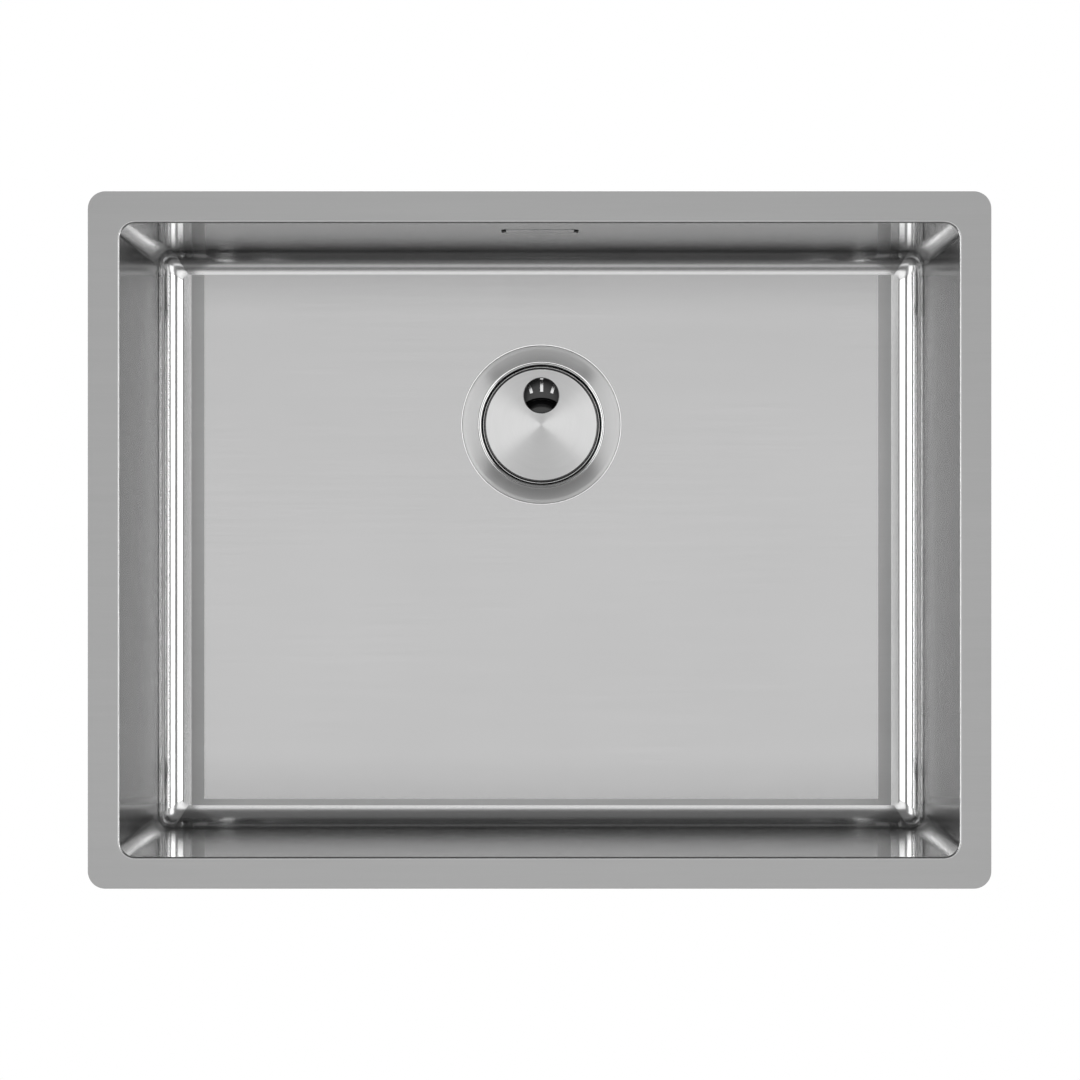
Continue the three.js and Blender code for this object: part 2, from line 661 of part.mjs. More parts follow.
function makeScrewInsert() {
  const topZ = insertTopZ - SEAT_GAP;
  const blank = bar(INSERT_RADIUS, insertTopZ - INSERT_LENGTH, topZ, 6);
  const bore = bar(SCREW_RADIUS + SEAT_GAP, insertTopZ - INSERT_LENGTH - CUT_OVER, topZ + CUT_OVER);
  return part('screw_insert', combine(blank, [], [bore]), BRASS);
}

function makeClampScrew() {
  const headTopZ = screwHeadZ + SCREW_HEAD_HEIGHT;
  const shank = bar(SCREW_RADIUS, insertTopZ - INSERT_LENGTH - SCREW_TAIL, headTopZ);
  const head = bar(SCREW_HEAD_RADIUS, screwHeadZ, headTopZ);
  const slot = new THREE.BoxGeometry(4 * SCREW_HEAD_RADIUS, SCREW_SLOT_WIDTH, 2 * SCREW_SLOT_DEPTH)
    .translate(0, 0, headTopZ);
  return part('clamp_screw', combine(shank, [head], [slot]), BRIGHT_STEEL);
}

function makeScrewWasher() {
  const bore = SCREW_RADIUS + SEAT_GAP;
  const washer = ring(bore, WASHER_RADIUS, washerZ, washerZ + WASHER_THICKNESS, SMALL_SIDES);
  return part('screw_washer', washer, SEAL_RUBBER);
}

/** The upper face of the basket: rim, wall, floor and the dome in its middle. */
function basketPath() {
  const innerWall = basketWallRadius - BASKET_WALL;
  const floorTopZ = basketFloorZ + BASKET_FLOOR;
  const domeTopZ = basketFloorZ + DOME_HEIGHT;
  const shoulder = DOME_RADIUS - DOME_TAPER;
  const path = new THREE.Path();
  path.moveTo(throatRadius - BASKET_PLAY, basketRimTopZ);
  path.lineTo(innerWall, basketRimTopZ);
  path.lineTo(innerWall, floorTopZ);
  path.lineTo(DOME_RADIUS, floorTopZ);
  path.lineTo(shoulder, domeTopZ - DOME_ROUND);
  path.quadraticCurveTo(shoulder - DOME_TAPER, domeTopZ, 0, domeTopZ);
  return path.getPoints(CURVE_STEPS);
}

/** The lower face of the basket, from its middle back out to the rim. */
function basketUnderPath() {
  const inside = DOME_RADIUS - BASKET_WALL;
  const skirtZ = cupFloorZ + BASKET_LIFT / 2;
  const domeRoofZ = basketFloorZ + DOME_HEIGHT - BASKET_WALL;
  const shoulder = inside - DOME_TAPER;
  const path = new THREE.Path();
  path.moveTo(0, domeRoofZ);
  path.quadraticCurveTo(shoulder - DOME_TAPER, domeRoofZ, shoulder, domeRoofZ - DOME_ROUND);
  path.lineTo(inside, basketFloorZ);
  path.lineTo(inside, skirtZ);
  path.lineTo(DOME_RADIUS, skirtZ);
  path.lineTo(DOME_RADIUS, basketFloorZ);
  path.lineTo(basketWallRadius, basketFloorZ);
  path.lineTo(basketWallRadius, ledgeZ + SEAT_GAP);
  path.lineTo(throatRadius - BASKET_PLAY, ledgeZ + SEAT_GAP);
  path.lineTo(throatRadius - BASKET_PLAY, basketRimTopZ);
  return path.getPoints(CURVE_STEPS);
}

function makeBasket() {
  const body = revolve([...basketPath(), ...basketUnderPath()]);
  const slotLength = throatRadius - slotStart;
  const slotHeight = CUT_OVER + BASKET_FLOOR + SLOT_RISE;
  const slot = new THREE.BoxGeometry(slotLength, SLOT_WIDTH, slotHeight)
    .translate(slotStart + slotLength / 2, 0, basketFloorZ - CUT_OVER + slotHeight / 2);
  const slots = aroundZ(slot, SLOT_COUNT, QUARTER);
  return part('filter_basket', combine(body, [], slots), BLACK_PLASTIC);
}

/** The stopper seal round the basket's skirt, its lip reaching down to the cup's floor. */
function makeStopperSeal() {
  const outer = stopperInner + STOPPER_WIDTH;
  const topZ = basketFloorZ - SEAT_GAP;
  const lipZ = cupFloorZ + SEAT_GAP;
  const heelZ = lipZ + STOPPER_LIP;
  const profile = [
    [stopperInner, heelZ],
    [outer - STOPPER_LIP, heelZ],
    [outer - STOPPER_LIP / 2, lipZ],
    [outer, lipZ],
    [outer, topZ],
    [stopperInner, topZ],
    [stopperInner, heelZ],
  ].map(([radius, z]) => new THREE.Vector2(radius, z));
  return part('stopper_seal', revolve(profile), SEAL_RUBBER);
}

function makeCoverPlate() {
  const inner = COVER_RADIUS - COVER_SHEET;
  const path = new THREE.Path();
  path.moveTo(0, coverTopZ - COVER_SHEET);
  path.lineTo(inner, coverTopZ - COVER_SHEET);
  path.lineTo(inner, coverFootZ);
  path.lineTo(COVER_RADIUS, coverFootZ);
  path.lineTo(COVER_RADIUS, coverTopZ - COVER_EDGE_ROUND);
  path.quadraticCurveTo(COVER_RADIUS, coverTopZ, COVER_RADIUS - COVER_EDGE_ROUND, coverTopZ);
  path.lineTo(0, coverTopZ);
  const fingerHole = revolve([
    [0, coverTopZ - COVER_SHEET - CUT_OVER],
    [FINGER_RADIUS, coverTopZ - COVER_SHEET - CUT_OVER],
    [FINGER_RADIUS, coverTopZ - FINGER_BEVEL],
    [FINGER_RADIUS + FINGER_BEVEL, coverTopZ],
    [FINGER_RADIUS + FINGER_BEVEL, coverTopZ + CUT_OVER],
    [0, coverTopZ + CUT_OVER],
  ].map(([radius, z]) => new THREE.Vector2(radius, z))).translate(0, FINGER_BACK, 0);
  const disc = revolve(path.getPoints(CURVE_STEPS));
  return part('cover_plate', combine(disc, [], [fingerHole]), BRIGHT_STEEL);
}

function makeWaste() {
  const waste = new THREE.Group();
  waste.position.set(0, DRAIN_BACK, floorZ);
  waste.add(
    makeCup(),
    makeFlangeSeal(),
    makeUnderSeal(),
    makeWasteBody(),
    makeScrewInsert(),
    makeClampScrew(),
    makeScrewWasher(),
    makeBasket(),
    makeStopperSeal(),
    makeCoverPlate(),
  );
  return waste;
}

// ---------------------------------------------------------------- overflow, from its centre

/** The two places of something that stands to the left and to the right. */
function pair(geometry, span) {
  return [-1, 1].map((side) => geometry.clone().translate((side * span) / 2, 0, 0));
}

function makeOverflowPlate() {
  const outline = roundedRectangle(
    SLOT_OPENING_WIDTH - 2 * PLATE_MARGIN,
    SLOT_OPENING_HEIGHT - 2 * PLATE_MARGIN,
    SLOT_OPENING_CORNER - PLATE_MARGIN / 2,
  );
  const post = barAlongY(PLATE_POST_RADIUS, PLATE_SHEET / 2, PLATE_POST_LENGTH);
  const geometry = combine(uprightPlate(outline, 0, PLATE_SHEET), pair(post, PLATE_POST_SPAN), []);
  return part('overflow_plate', geometry, BRUSHED_STEEL);
}

/** The outline that the overflow's seal and the head's flange share. */
function headFlangeOutline(inset) {
  return roundedRectangle(
    SLOT_OPENING_WIDTH + 2 * (HEAD_FLANGE_EAR - inset),
    SLOT_OPENING_HEIGHT + 2 * (HEAD_FLANGE_BORDER - inset),
    HEAD_FLANGE_CORNER,
  );
}

/** Cutters for the two stud holes in the seal and in the head. */
function studHoles() {
  return pair(barAlongY(STUD_RADIUS + STUD_PLAY, 0, headFlangeY + 2 * CUT_OVER), STUD_SPAN);
}

function makeOverflowSeal() {
  const nearY = SHEET + SEAT_GAP;
  const sheet = uprightPlate(headFlangeOutline(SEAL_MARGIN), nearY, nearY + OVERFLOW_SEAL_THICKNESS);
  const opening = uprightPlate(
    roundedRectangle(
      SLOT_OPENING_WIDTH + 2 * SEAL_MARGIN,
      SLOT_OPENING_HEIGHT + 2 * SEAL_MARGIN,
      SLOT_OPENING_CORNER,
    ),
    0,
    nearY + OVERFLOW_SEAL_THICKNESS + CUT_OVER,
  );
  return part('overflow_seal', combine(sheet, [], [opening, ...studHoles()]), SEAL_RUBBER);
}

/** The moulded chamber behind the wall, with its spout down to the hose. */
function makeOverflowHead() {
  const flange = uprightPlate(
    headFlangeOutline(0),
    headFlangeY,
    headFlangeY + HEAD_FLANGE_THICKNESS,
  );
  const chamber = uprightPlate(
    roundedRectangle(
      SLOT_OPENING_WIDTH + 2 * HEAD_WALL,
      SLOT_OPENING_HEIGHT + 2 * HEAD_WALL,
      SLOT_OPENING_CORNER + HEAD_WALL,
    ),
    headFlangeY,
    HEAD_DEPTH,
  );
  const hollow = uprightPlate(
    roundedRectangle(SLOT_OPENING_WIDTH, SLOT_OPENING_HEIGHT, SLOT_OPENING_CORNER),
    headFlangeY - CUT_OVER,
    HEAD_DEPTH - HEAD_WALL,
  );
  const spout = bar(PIPE_RADIUS, -HEAD_SPOUT_DROP, -SLOT_OPENING_HEIGHT / 2)
    .translate(0, HEAD_SPOUT_BACK, 0);
  const spoutBore = bar(PIPE_BORE, -HEAD_SPOUT_DROP - CUT_OVER, 0)
    .translate(0, HEAD_SPOUT_BACK, 0);
  const socket = barAlongY(
    PLATE_POST_RADIUS + SEAT_GAP + SOCKET_WALL,
    headFlangeY + SOCKET_MOUTH,
    HEAD_DEPTH - HEAD_WALL / 2,
  );
  const socketBore = barAlongY(
    PLATE_POST_RADIUS + SEAT_GAP,
    headFlangeY,
    PLATE_POST_LENGTH + SEAT_GAP,
  );
  const shell = combine(flange, [chamber, spout], [hollow, spoutBore, ...studHoles()]);
  const geometry = combine(
    shell,
    pair(socket, PLATE_POST_SPAN),
    pair(socketBore, PLATE_POST_SPAN),
  );
  return part('overflow_head', geometry, WHITE_PLASTIC);
}

/** A hexagon nut on one of the studs welded to the bowl's back. */
function makeStudNut(name, side) {
  const nearY = headFlangeY + HEAD_FLANGE_THICKNESS + SEAT_GAP;
  const blank = barAlongY(NUT_RADIUS, nearY, nearY + NUT_THICKNESS, 6);
  const bore = barAlongY(STUD_RADIUS + SEAT_GAP, 0, nearY + NUT_THICKNESS + CUT_OVER);
  const nut = part(name, combine(blank, [], [bore]), BRIGHT_STEEL);
  nut.position.setX((side * STUD_SPAN) / 2);
  return nut;
}

function makeOverflow() {
  const overflow = new THREE.Group();
  overflow.position.set(0, BOWL_BREADTH / 2, -OVERFLOW_DROP);
  overflow.add(
    makeOverflowPlate(),
    makeOverflowSeal(),
    makeOverflowHead(),
    makeStudNut('overflow_nut_left', -1),
    makeStudNut('overflow_nut_right', 1),
  );
  return overflow;
}

// ---------------------------------------------------------------- pipe joints and hose

/** A union nut over a pipe's end at Z = 0, its lip round the hose that leaves along +Z. */
function unionNutGeometry() {
  const threadBore = PIPE_RADIUS + PIPE_PLAY;
  const outer = threadBore + UNION_WALL;
  const profile = [
    [threadBore, -UNION_GRIP_LENGTH],
    [outer, -UNION_GRIP_LENGTH],
    [outer, unionLipZ],
    [outer - UNION_LIP, unionLipZ + UNION_LIP],
    [HOSE_CUFF_RADIUS + PIPE_PLAY, unionLipZ + UNION_LIP],
    [HOSE_CUFF_RADIUS + PIPE_PLAY, unionLipZ],
    [threadBore, unionLipZ],
    [threadBore, -UNION_GRIP_LENGTH],
  ].map(([radius, z]) => new THREE.Vector2(radius, z));
  const length = unionLipZ + UNION_GRIP_LENGTH;
  const rib = new THREE.BoxGeometry(UNION_RIB_SIZE, UNION_RIB_SIZE, length)
    .translate(outer, 0, length / 2 - UNION_GRIP_LENGTH);
  return combine(revolve(profile, 2 * SMALL_SIDES), aroundZ(rib, UNION_RIB_COUNT), []);
}

/** The nut and the flat seal of one pipe joint, in a group whose +Z leaves the pipe. */
function makePipeJoint(place) {
  const joint = new THREE.Group();
  const seal = ring(JOINT_SEAL_BORE, PIPE_RADIUS, SEAT_GAP, SEAT_GAP + JOINT_SEAL_THICKNESS);
  joint.add(
    part(`hose_nut_${place}`, unionNutGeometry(), GREY_PLASTIC),
    part(`hose_seal_${place}`, seal, SEAL_RUBBER),
  );
  return joint;
}

/** The hose's middle line in the YZ plane: down behind the bowl, then forward to the waste. */
function hoseRoute(top, end) {
  const bendY = top.x - HOSE_BEND_RADIUS;
  const bendZ = end.y + HOSE_BEND_RADIUS;
  const route = new THREE.Path();
  route.moveTo(top.x, top.y);
  route.lineTo(top.x, bendZ);
  route.absarc(bendY, bendZ, HOSE_BEND_RADIUS, 0, -QUARTER, true);
  route.lineTo(end.x, end.y);
  return route;
}

/** The hose's outside as (distance along it, radius), with its collars, cuffs and ribs. */
function hoseOutside(length) {
  const ribbed = length - 2 * HOSE_CUFF_LENGTH;
  const count = Math.max(Math.round(ribbed / HOSE_RIB_PITCH), 1);
  const pitch = ribbed / count;
  const steps = [[0, PIPE_RADIUS], [HOSE_COLLAR, PIPE_RADIUS], [HOSE_COLLAR, HOSE_CUFF_RADIUS]];
  for (let i = 0; i < count; i += 1) {
    const start = HOSE_CUFF_LENGTH + i * pitch;
    steps.push([start, i === 0 ? HOSE_CUFF_RADIUS : HOSE_ROOT_RADIUS]);
    steps.push([start + pitch / 2, HOSE_CREST_RADIUS]);
  }
  steps.push([length - HOSE_CUFF_LENGTH, HOSE_CUFF_RADIUS]);
  steps.push([length - HOSE_COLLAR, HOSE_CUFF_RADIUS]);
  steps.push([length - HOSE_COLLAR, PIPE_RADIUS], [length, PIPE_RADIUS]);
  return steps;
}

/** The hose's bore as (distance along it, radius), with a ring every few ribs. */
function hoseInside(length) {
  const count = Math.ceil(length / (HOSE_RIB_PITCH * RIBS_PER_BORE_RING));
  return Array.from({ length: count + 1 }, (_, i) => [(length * i) / count, HOSE_BORE]);
}

/** A hose along a route in the YZ plane, from its outside and back through its bore. */
function makeHose(top, end) {
  const route = hoseRoute(top, end);
  const length = route.getLength();
  const rings = [...hoseOutside(length), ...hoseInside(length).reverse()];
  const points = [];
  for (const [distance, radius] of rings) {
    const at = Math.min(distance / length, 1);
    const centre = route.getPointAt(at);
    const along = route.getTangentAt(at);
    for (let side = 0; side < HOSE_SIDES; side += 1) {
      const angle = (2 * Math.PI * side) / HOSE_SIDES;
      const across = radius * Math.sin(angle);
      points.push(new THREE.Vector3(
        radius * Math.cos(angle),
        centre.x - along.y * across,
        centre.y + along.x * across,
      ));
    }
  }
  const indices = [];
  for (let row = 0; row < rings.length; row += 1) {
    const nextRow = (row + 1) % rings.length;
    for (let side = 0; side < HOSE_SIDES; side += 1) {
      const nextSide = (side + 1) % HOSE_SIDES;
      const [a, b] = [row * HOSE_SIDES + side, row * HOSE_SIDES + nextSide];
      const [c, d] = [nextRow * HOSE_SIDES + side, nextRow * HOSE_SIDES + nextSide];
      indices.push(a, c, b, b, c, d);
    }
  }
  const geometry = new THREE.BufferGeometry().setFromPoints(points);
  geometry.setIndex(indices);
  return part('overflow_hose', geometry, WHITE_PLASTIC);
}

/** The hose with a pipe joint at the overflow's spout and one at the waste's inlet. */
function makeHoseRun() {
  const spoutY = BOWL_BREADTH / 2 + HEAD_SPOUT_BACK;
  const inletEndY = DRAIN_BACK + INLET_REACH;
  const inletZ = floorZ - INLET_DROP;
  const upper = makePipeJoint('upper');
  upper.position.set(0, spoutY, spoutEndZ);
  upper.rotation.x = 2 * QUARTER;
  const lower = makePipeJoint('lower');
  lower.position.set(0, inletEndY, inletZ);
  lower.rotation.x = -QUARTER;
  const hose = makeHose(
    new THREE.Vector2(spoutY, spoutEndZ - jointLength),
    new THREE.Vector2(inletEndY + jointLength, inletZ),
  );
  return [upper, lower, hose];
}

// ---------------------------------------------------------------- the sink

const sink = new THREE.Group();
sink.add(makeBowl(), ...makeWallPads(), ...makeFloorPads(), makeWaste(), makeOverflow());
sink.add(...makeHoseRun());

export default sink;
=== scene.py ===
"""An undermount kitchen sink, dressed over its CAD frame and lit as for a catalogue photograph.

The pieces are modelled here with bmesh in the frame's own metres, so each one sits where its CAD solid is.
The brushed steel bowl, its sound pads, the basket waste and the overflow with its hose each have a class.
"""

from __future__ import annotations

import logging
import math
from dataclasses import dataclass
from enum import Enum, IntEnum
from functools import cache
from itertools import pairwise
from typing import Iterable, Sequence

import bmesh
import bpy
from mathutils import Matrix, Vector

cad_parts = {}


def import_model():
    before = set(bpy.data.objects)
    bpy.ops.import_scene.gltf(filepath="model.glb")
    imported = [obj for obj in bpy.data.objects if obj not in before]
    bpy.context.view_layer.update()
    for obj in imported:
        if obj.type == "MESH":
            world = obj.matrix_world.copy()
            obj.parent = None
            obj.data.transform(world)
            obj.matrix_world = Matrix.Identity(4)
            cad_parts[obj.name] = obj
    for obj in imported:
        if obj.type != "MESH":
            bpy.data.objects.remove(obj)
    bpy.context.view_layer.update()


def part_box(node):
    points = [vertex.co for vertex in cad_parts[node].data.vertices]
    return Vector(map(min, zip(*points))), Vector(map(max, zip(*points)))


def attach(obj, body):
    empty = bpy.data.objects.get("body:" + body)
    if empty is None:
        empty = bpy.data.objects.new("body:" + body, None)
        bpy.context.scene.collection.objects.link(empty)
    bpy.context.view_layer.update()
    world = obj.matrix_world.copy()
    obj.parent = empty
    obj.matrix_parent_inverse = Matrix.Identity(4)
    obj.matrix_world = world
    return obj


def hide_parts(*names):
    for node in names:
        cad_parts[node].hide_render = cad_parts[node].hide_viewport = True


log = logging.getLogger("sink")

MM = 0.001
QUARTER_TURN = math.pi / 2
FULL_TURN = 2 * math.pi
SEAT_GAP = 0.3 * MM  # between two pieces that rest on each other
WASTE_BACK = 80.5 * MM  # the waste's axis behind the bowl's middle
MERGE = 1e-6  # vertices nearer than this are one
IDENTITY = Matrix().freeze()

Edge = bmesh.types.BMEdge
Face = bmesh.types.BMFace
Mesh = bmesh.types.BMesh
Vert = bmesh.types.BMVert
Socket = bpy.types.NodeSocket
Point = tuple[float, float, float]
Profile = Sequence[tuple[float, float]]


# ---------------------------------------------------------------- mesh making


def mm(*points: tuple[float, float]) -> list[tuple[float, float]]:
    """Turns points of radius and height from millimetres into metres."""
    return [(radius * MM, height * MM) for radius, height in points]


def tube(inner: float, outer: float, start: float, end: float) -> Profile:
    """Gives the outline of a plain tube of two radii, from one height to another."""
    return [(inner, start), (outer, start), (outer, end), (inner, end)]


def placed(point: Iterable[float], turn: float, axis: str = "X") -> Matrix:
    """Gives the place at a point, turned about an axis."""
    return Matrix.Translation(point) @ Matrix.Rotation(turn, 4, axis)


def circle(bm: Mesh, radius: float, sides: int, place: Matrix) -> list[Edge]:
    """Adds a circle.

    Args:
        bm: The mesh that gets it.
        radius: Its radius.
        sides: How many edges it has.
        place: Where its middle is and how it is turned.

    Returns:
        Its edges.
    """
    verts = bmesh.ops.create_circle(bm, cap_ends=False, radius=radius, segments=sides, matrix=place)["verts"]
    return list(dict.fromkeys(edge for vert in verts for edge in vert.link_edges))


def ring(bm: Mesh, radius: float, z: float, sides: int, centre: Point = (0, 0, 0)) -> list[Edge]:
    """Adds a circle lying flat at a height above a centre, and returns its edges."""
    return circle(bm, radius, sides, Matrix.Translation(Vector(centre) + Vector((0, 0, z))))


def rounded_face(bm: Mesh, size: Point, place: Matrix, steps: int = 8) -> Face:
    """Adds one flat rectangular face with round corners.

    Args:
        bm: The mesh that gets the face.
        size: Its size along the place's X and along its Y, and its corners' radius.
        place: Where its middle stands and how it is turned.
        steps: How many edges each round corner has.

    Returns:
        The face.
    """
    width, breadth, corner = size
    sized = place @ Matrix.Diagonal((width, breadth, 1, 1))
    verts = bmesh.ops.create_grid(bm, x_segments=1, y_segments=1, size=0.5, matrix=sized)["verts"]
    rounded = bmesh.ops.bevel(
        bm, geom=verts, offset=corner, offset_type="OFFSET", segments=steps, profile=0.5,
        affect="VERTICES", material=-1,
    )
    return rounded["verts"][0].link_faces[0]


def rounded_ring(bm: Mesh, size: Point, place: Matrix, steps: int = 8) -> list[Edge]:
    """Adds the outline of a rectangle with round corners.

    Args:
        bm: The mesh that gets the outline.
        size: Its size along the place's X and along its Y, and its corners' radius.
        place: Where its middle stands and how it is turned.
        steps: How many edges each round corner has.

    Returns:
        The outline's edges.
    """
    face = rounded_face(bm, size, place, steps)
    edges = list(face.edges)
    bmesh.ops.delete(bm, geom=[face], context="FACES_ONLY")
    return edges


def bridge(bm: Mesh, one: Iterable[Edge], other: Iterable[Edge]) -> list[Face]:
    """Joins two loops of edges with a band of faces, and returns the faces."""
    return bmesh.ops.bridge_loops(bm, edges=[*one, *other])["faces"]


def banded(bm: Mesh, rings: Iterable[Iterable[Edge]]) -> list[Face]:
    """Joins each of a row of rings to the next, and returns the faces."""
    return [face for one, other in pairwise(rings) for face in bridge(bm, one, other)]


def fill(bm: Mesh, edges: Iterable[Edge], normal: Point) -> list[Face]:
    """Fills the flat area between closed loops of edges, and returns the faces."""
    flat = bmesh.ops.triangle_fill(bm, use_beauty=True, use_dissolve=False, edges=list(edges), normal=normal)
    return [item for item in flat["geom"] if isinstance(item, Face)]


def sliced(bm: Mesh, faces: Iterable[Face], point: Point, normal: Point) -> list[Face]:
    """Cuts faces along a plane.

    Args:
        bm: Their mesh.
        faces: The faces to cut.
        point: A point of the plane.
        normal: The plane's normal.

    Returns:
        The faces that they become.
    """
    kept = list(faces)
    edges = dict.fromkeys(edge for face in kept for edge in face.edges)
    verts = dict.fromkeys(vert for face in kept for vert in face.verts)
    geom = [*kept, *edges, *verts]
    cut = bmesh.ops.bisect_plane(bm, geom=geom, dist=MERGE, plane_co=point, plane_no=normal)
    return [item for item in cut["geom"] if isinstance(item, Face)]


def thickened(bm: Mesh, faces: Iterable[Face], way: Point) -> list[Vert]:
    """Makes flat faces into a slab.

    Args:
        bm: Their mesh.
        faces: The slab's near side.
        way: From the near side to the far side.

    Returns:
        The far side's vertices.
    """
    grown = bmesh.ops.extrude_face_region(bm, geom=list(faces), use_keep_orig=True)["geom"]
    moved = [item for item in grown if isinstance(item, Vert)]
    bmesh.ops.translate(bm, verts=moved, vec=way)
    return moved


def turned(bm: Mesh, profile: Profile, steps: int, closed: bool = False) -> None:
    """Spins a profile round the Z axis.

    Args:
        bm: The mesh that gets the turned skin.
        profile: Points of radius and height.
        steps: How many facets go round.
        closed: Whether the profile's last point joins its first.
    """
    verts = [bm.verts.new((radius, 0, height)) for radius, height in profile]
    loop = [*verts, verts[0]] if closed else verts
    edges = [bm.edges.new(pair) for pair in zip(loop, loop[1:])]
    bmesh.ops.spin(
        bm, geom=[*verts, *edges], cent=(0, 0, 0), axis=(0, 0, 1), angle=FULL_TURN, steps=steps,
        use_merge=True, use_duplicate=False,
    )
    bmesh.ops.remove_doubles(bm, verts=bm.verts, dist=MERGE)


def skinned(bm: Mesh, crease: float = 0.6) -> None:
    """Turns a closed skin's faces outwards and shades it smooth.

    Args:
        bm: The mesh.
        crease: Edges sharper than this angle stay sharp.
    """
    bmesh.ops.recalc_face_normals(bm, faces=bm.faces)
    for face in bm.faces:
        face.smooth = True
    for edge in bm.edges:
        edge.smooth = len(edge.link_faces) == 2 and edge.calc_face_angle(0) < crease


def facing_up(bm: Mesh) -> None:
    """Turns an open skin over if most of its flat area looks down."""
    if sum(face.normal.z * face.calc_area() for face in bm.faces) < 0:
        bmesh.ops.reverse_faces(bm, faces=bm.faces)


def meshed(bm: Mesh, name: str) -> bpy.types.Mesh:
    """Stores a mesh under a name and frees the working copy.

    Args:
        bm: The working copy.
        name: Its name.

    Returns:
        The stored mesh.
    """
    mesh = bpy.data.meshes.new(name)
    bm.to_mesh(mesh)
    bm.free()
    return mesh


def linked(name: str, data: bpy.types.ID) -> bpy.types.Object:
    """Adds an object to the scene, and returns it."""
    thing = bpy.data.objects.new(name, data)
    bpy.context.scene.collection.objects.link(thing)
    return thing


def added(bm: Mesh, other: Mesh, place: Matrix = IDENTITY) -> None:
    """Puts another mesh's geometry into a mesh.

    Args:
        bm: The mesh that gets it.
        other: The mesh that is put in, and freed.
        place: Where it goes and how it is turned.
    """
    bmesh.ops.transform(other, matrix=place, verts=other.verts)
    held = meshed(other, "held")
    bm.from_mesh(held)
    bpy.data.meshes.remove(held)


def add_bar(bm: Mesh, place: Matrix, size: Point) -> None:
    """Adds a straight bar.

    Args:
        bm: The mesh that gets it.
        place: Where its middle is and how it is turned.
        size: Its sizes along the place's axes.
    """
    bar = bmesh.new()
    bmesh.ops.create_cube(bar, size=1, matrix=Matrix.Diagonal((*size, 1)))
    added(bm, bar, place)


def from_axis(face: Face) -> float:
    """Gives how far a face's middle is from the Z axis."""
    middle = face.calc_center_median()
    return math.hypot(middle.x, middle.y)


def around(point: Vector) -> float:
    """Gives the angle at which a point stands round the Z axis, from 0 to a full turn."""
    return math.atan2(point.y, point.x) % FULL_TURN


def curve(start: Sequence[float], control: Sequence[float], end: Sequence[float], steps: int) -> Profile:
    """Gives the points of a quadratic curve.

    Args:
        start: Where it starts, as radius and height.
        control: Where its two end tangents meet.
        end: Where it ends.
        steps: How many straight parts it has.

    Returns:
        Its points, without the start.
    """
    points = []
    for step in range(1, steps + 1):
        part = step / steps
        weights = ((1 - part) ** 2, 2 * part * (1 - part), part**2)
        points.append(tuple(sum(w * p[i] for w, p in zip(weights, (start, control, end))) for i in (0, 1)))
    return points


def quarter(step: int, steps: int) -> tuple[float, float]:
    """Gives how far a quarter circle's sine and cosine are from 1 after some of its steps."""
    turn = step / steps * QUARTER_TURN
    return 1 - math.sin(turn), 1 - math.cos(turn)


# ---------------------------------------------------------------- finishes


class Grain(Enum):
    """Which way the lines of a brushed finish run."""

    ALONG_X = (1, 0, 0)
    ALONG_Y = (0, 1, 0)
    ROUND_Z = (0, 0, 1)


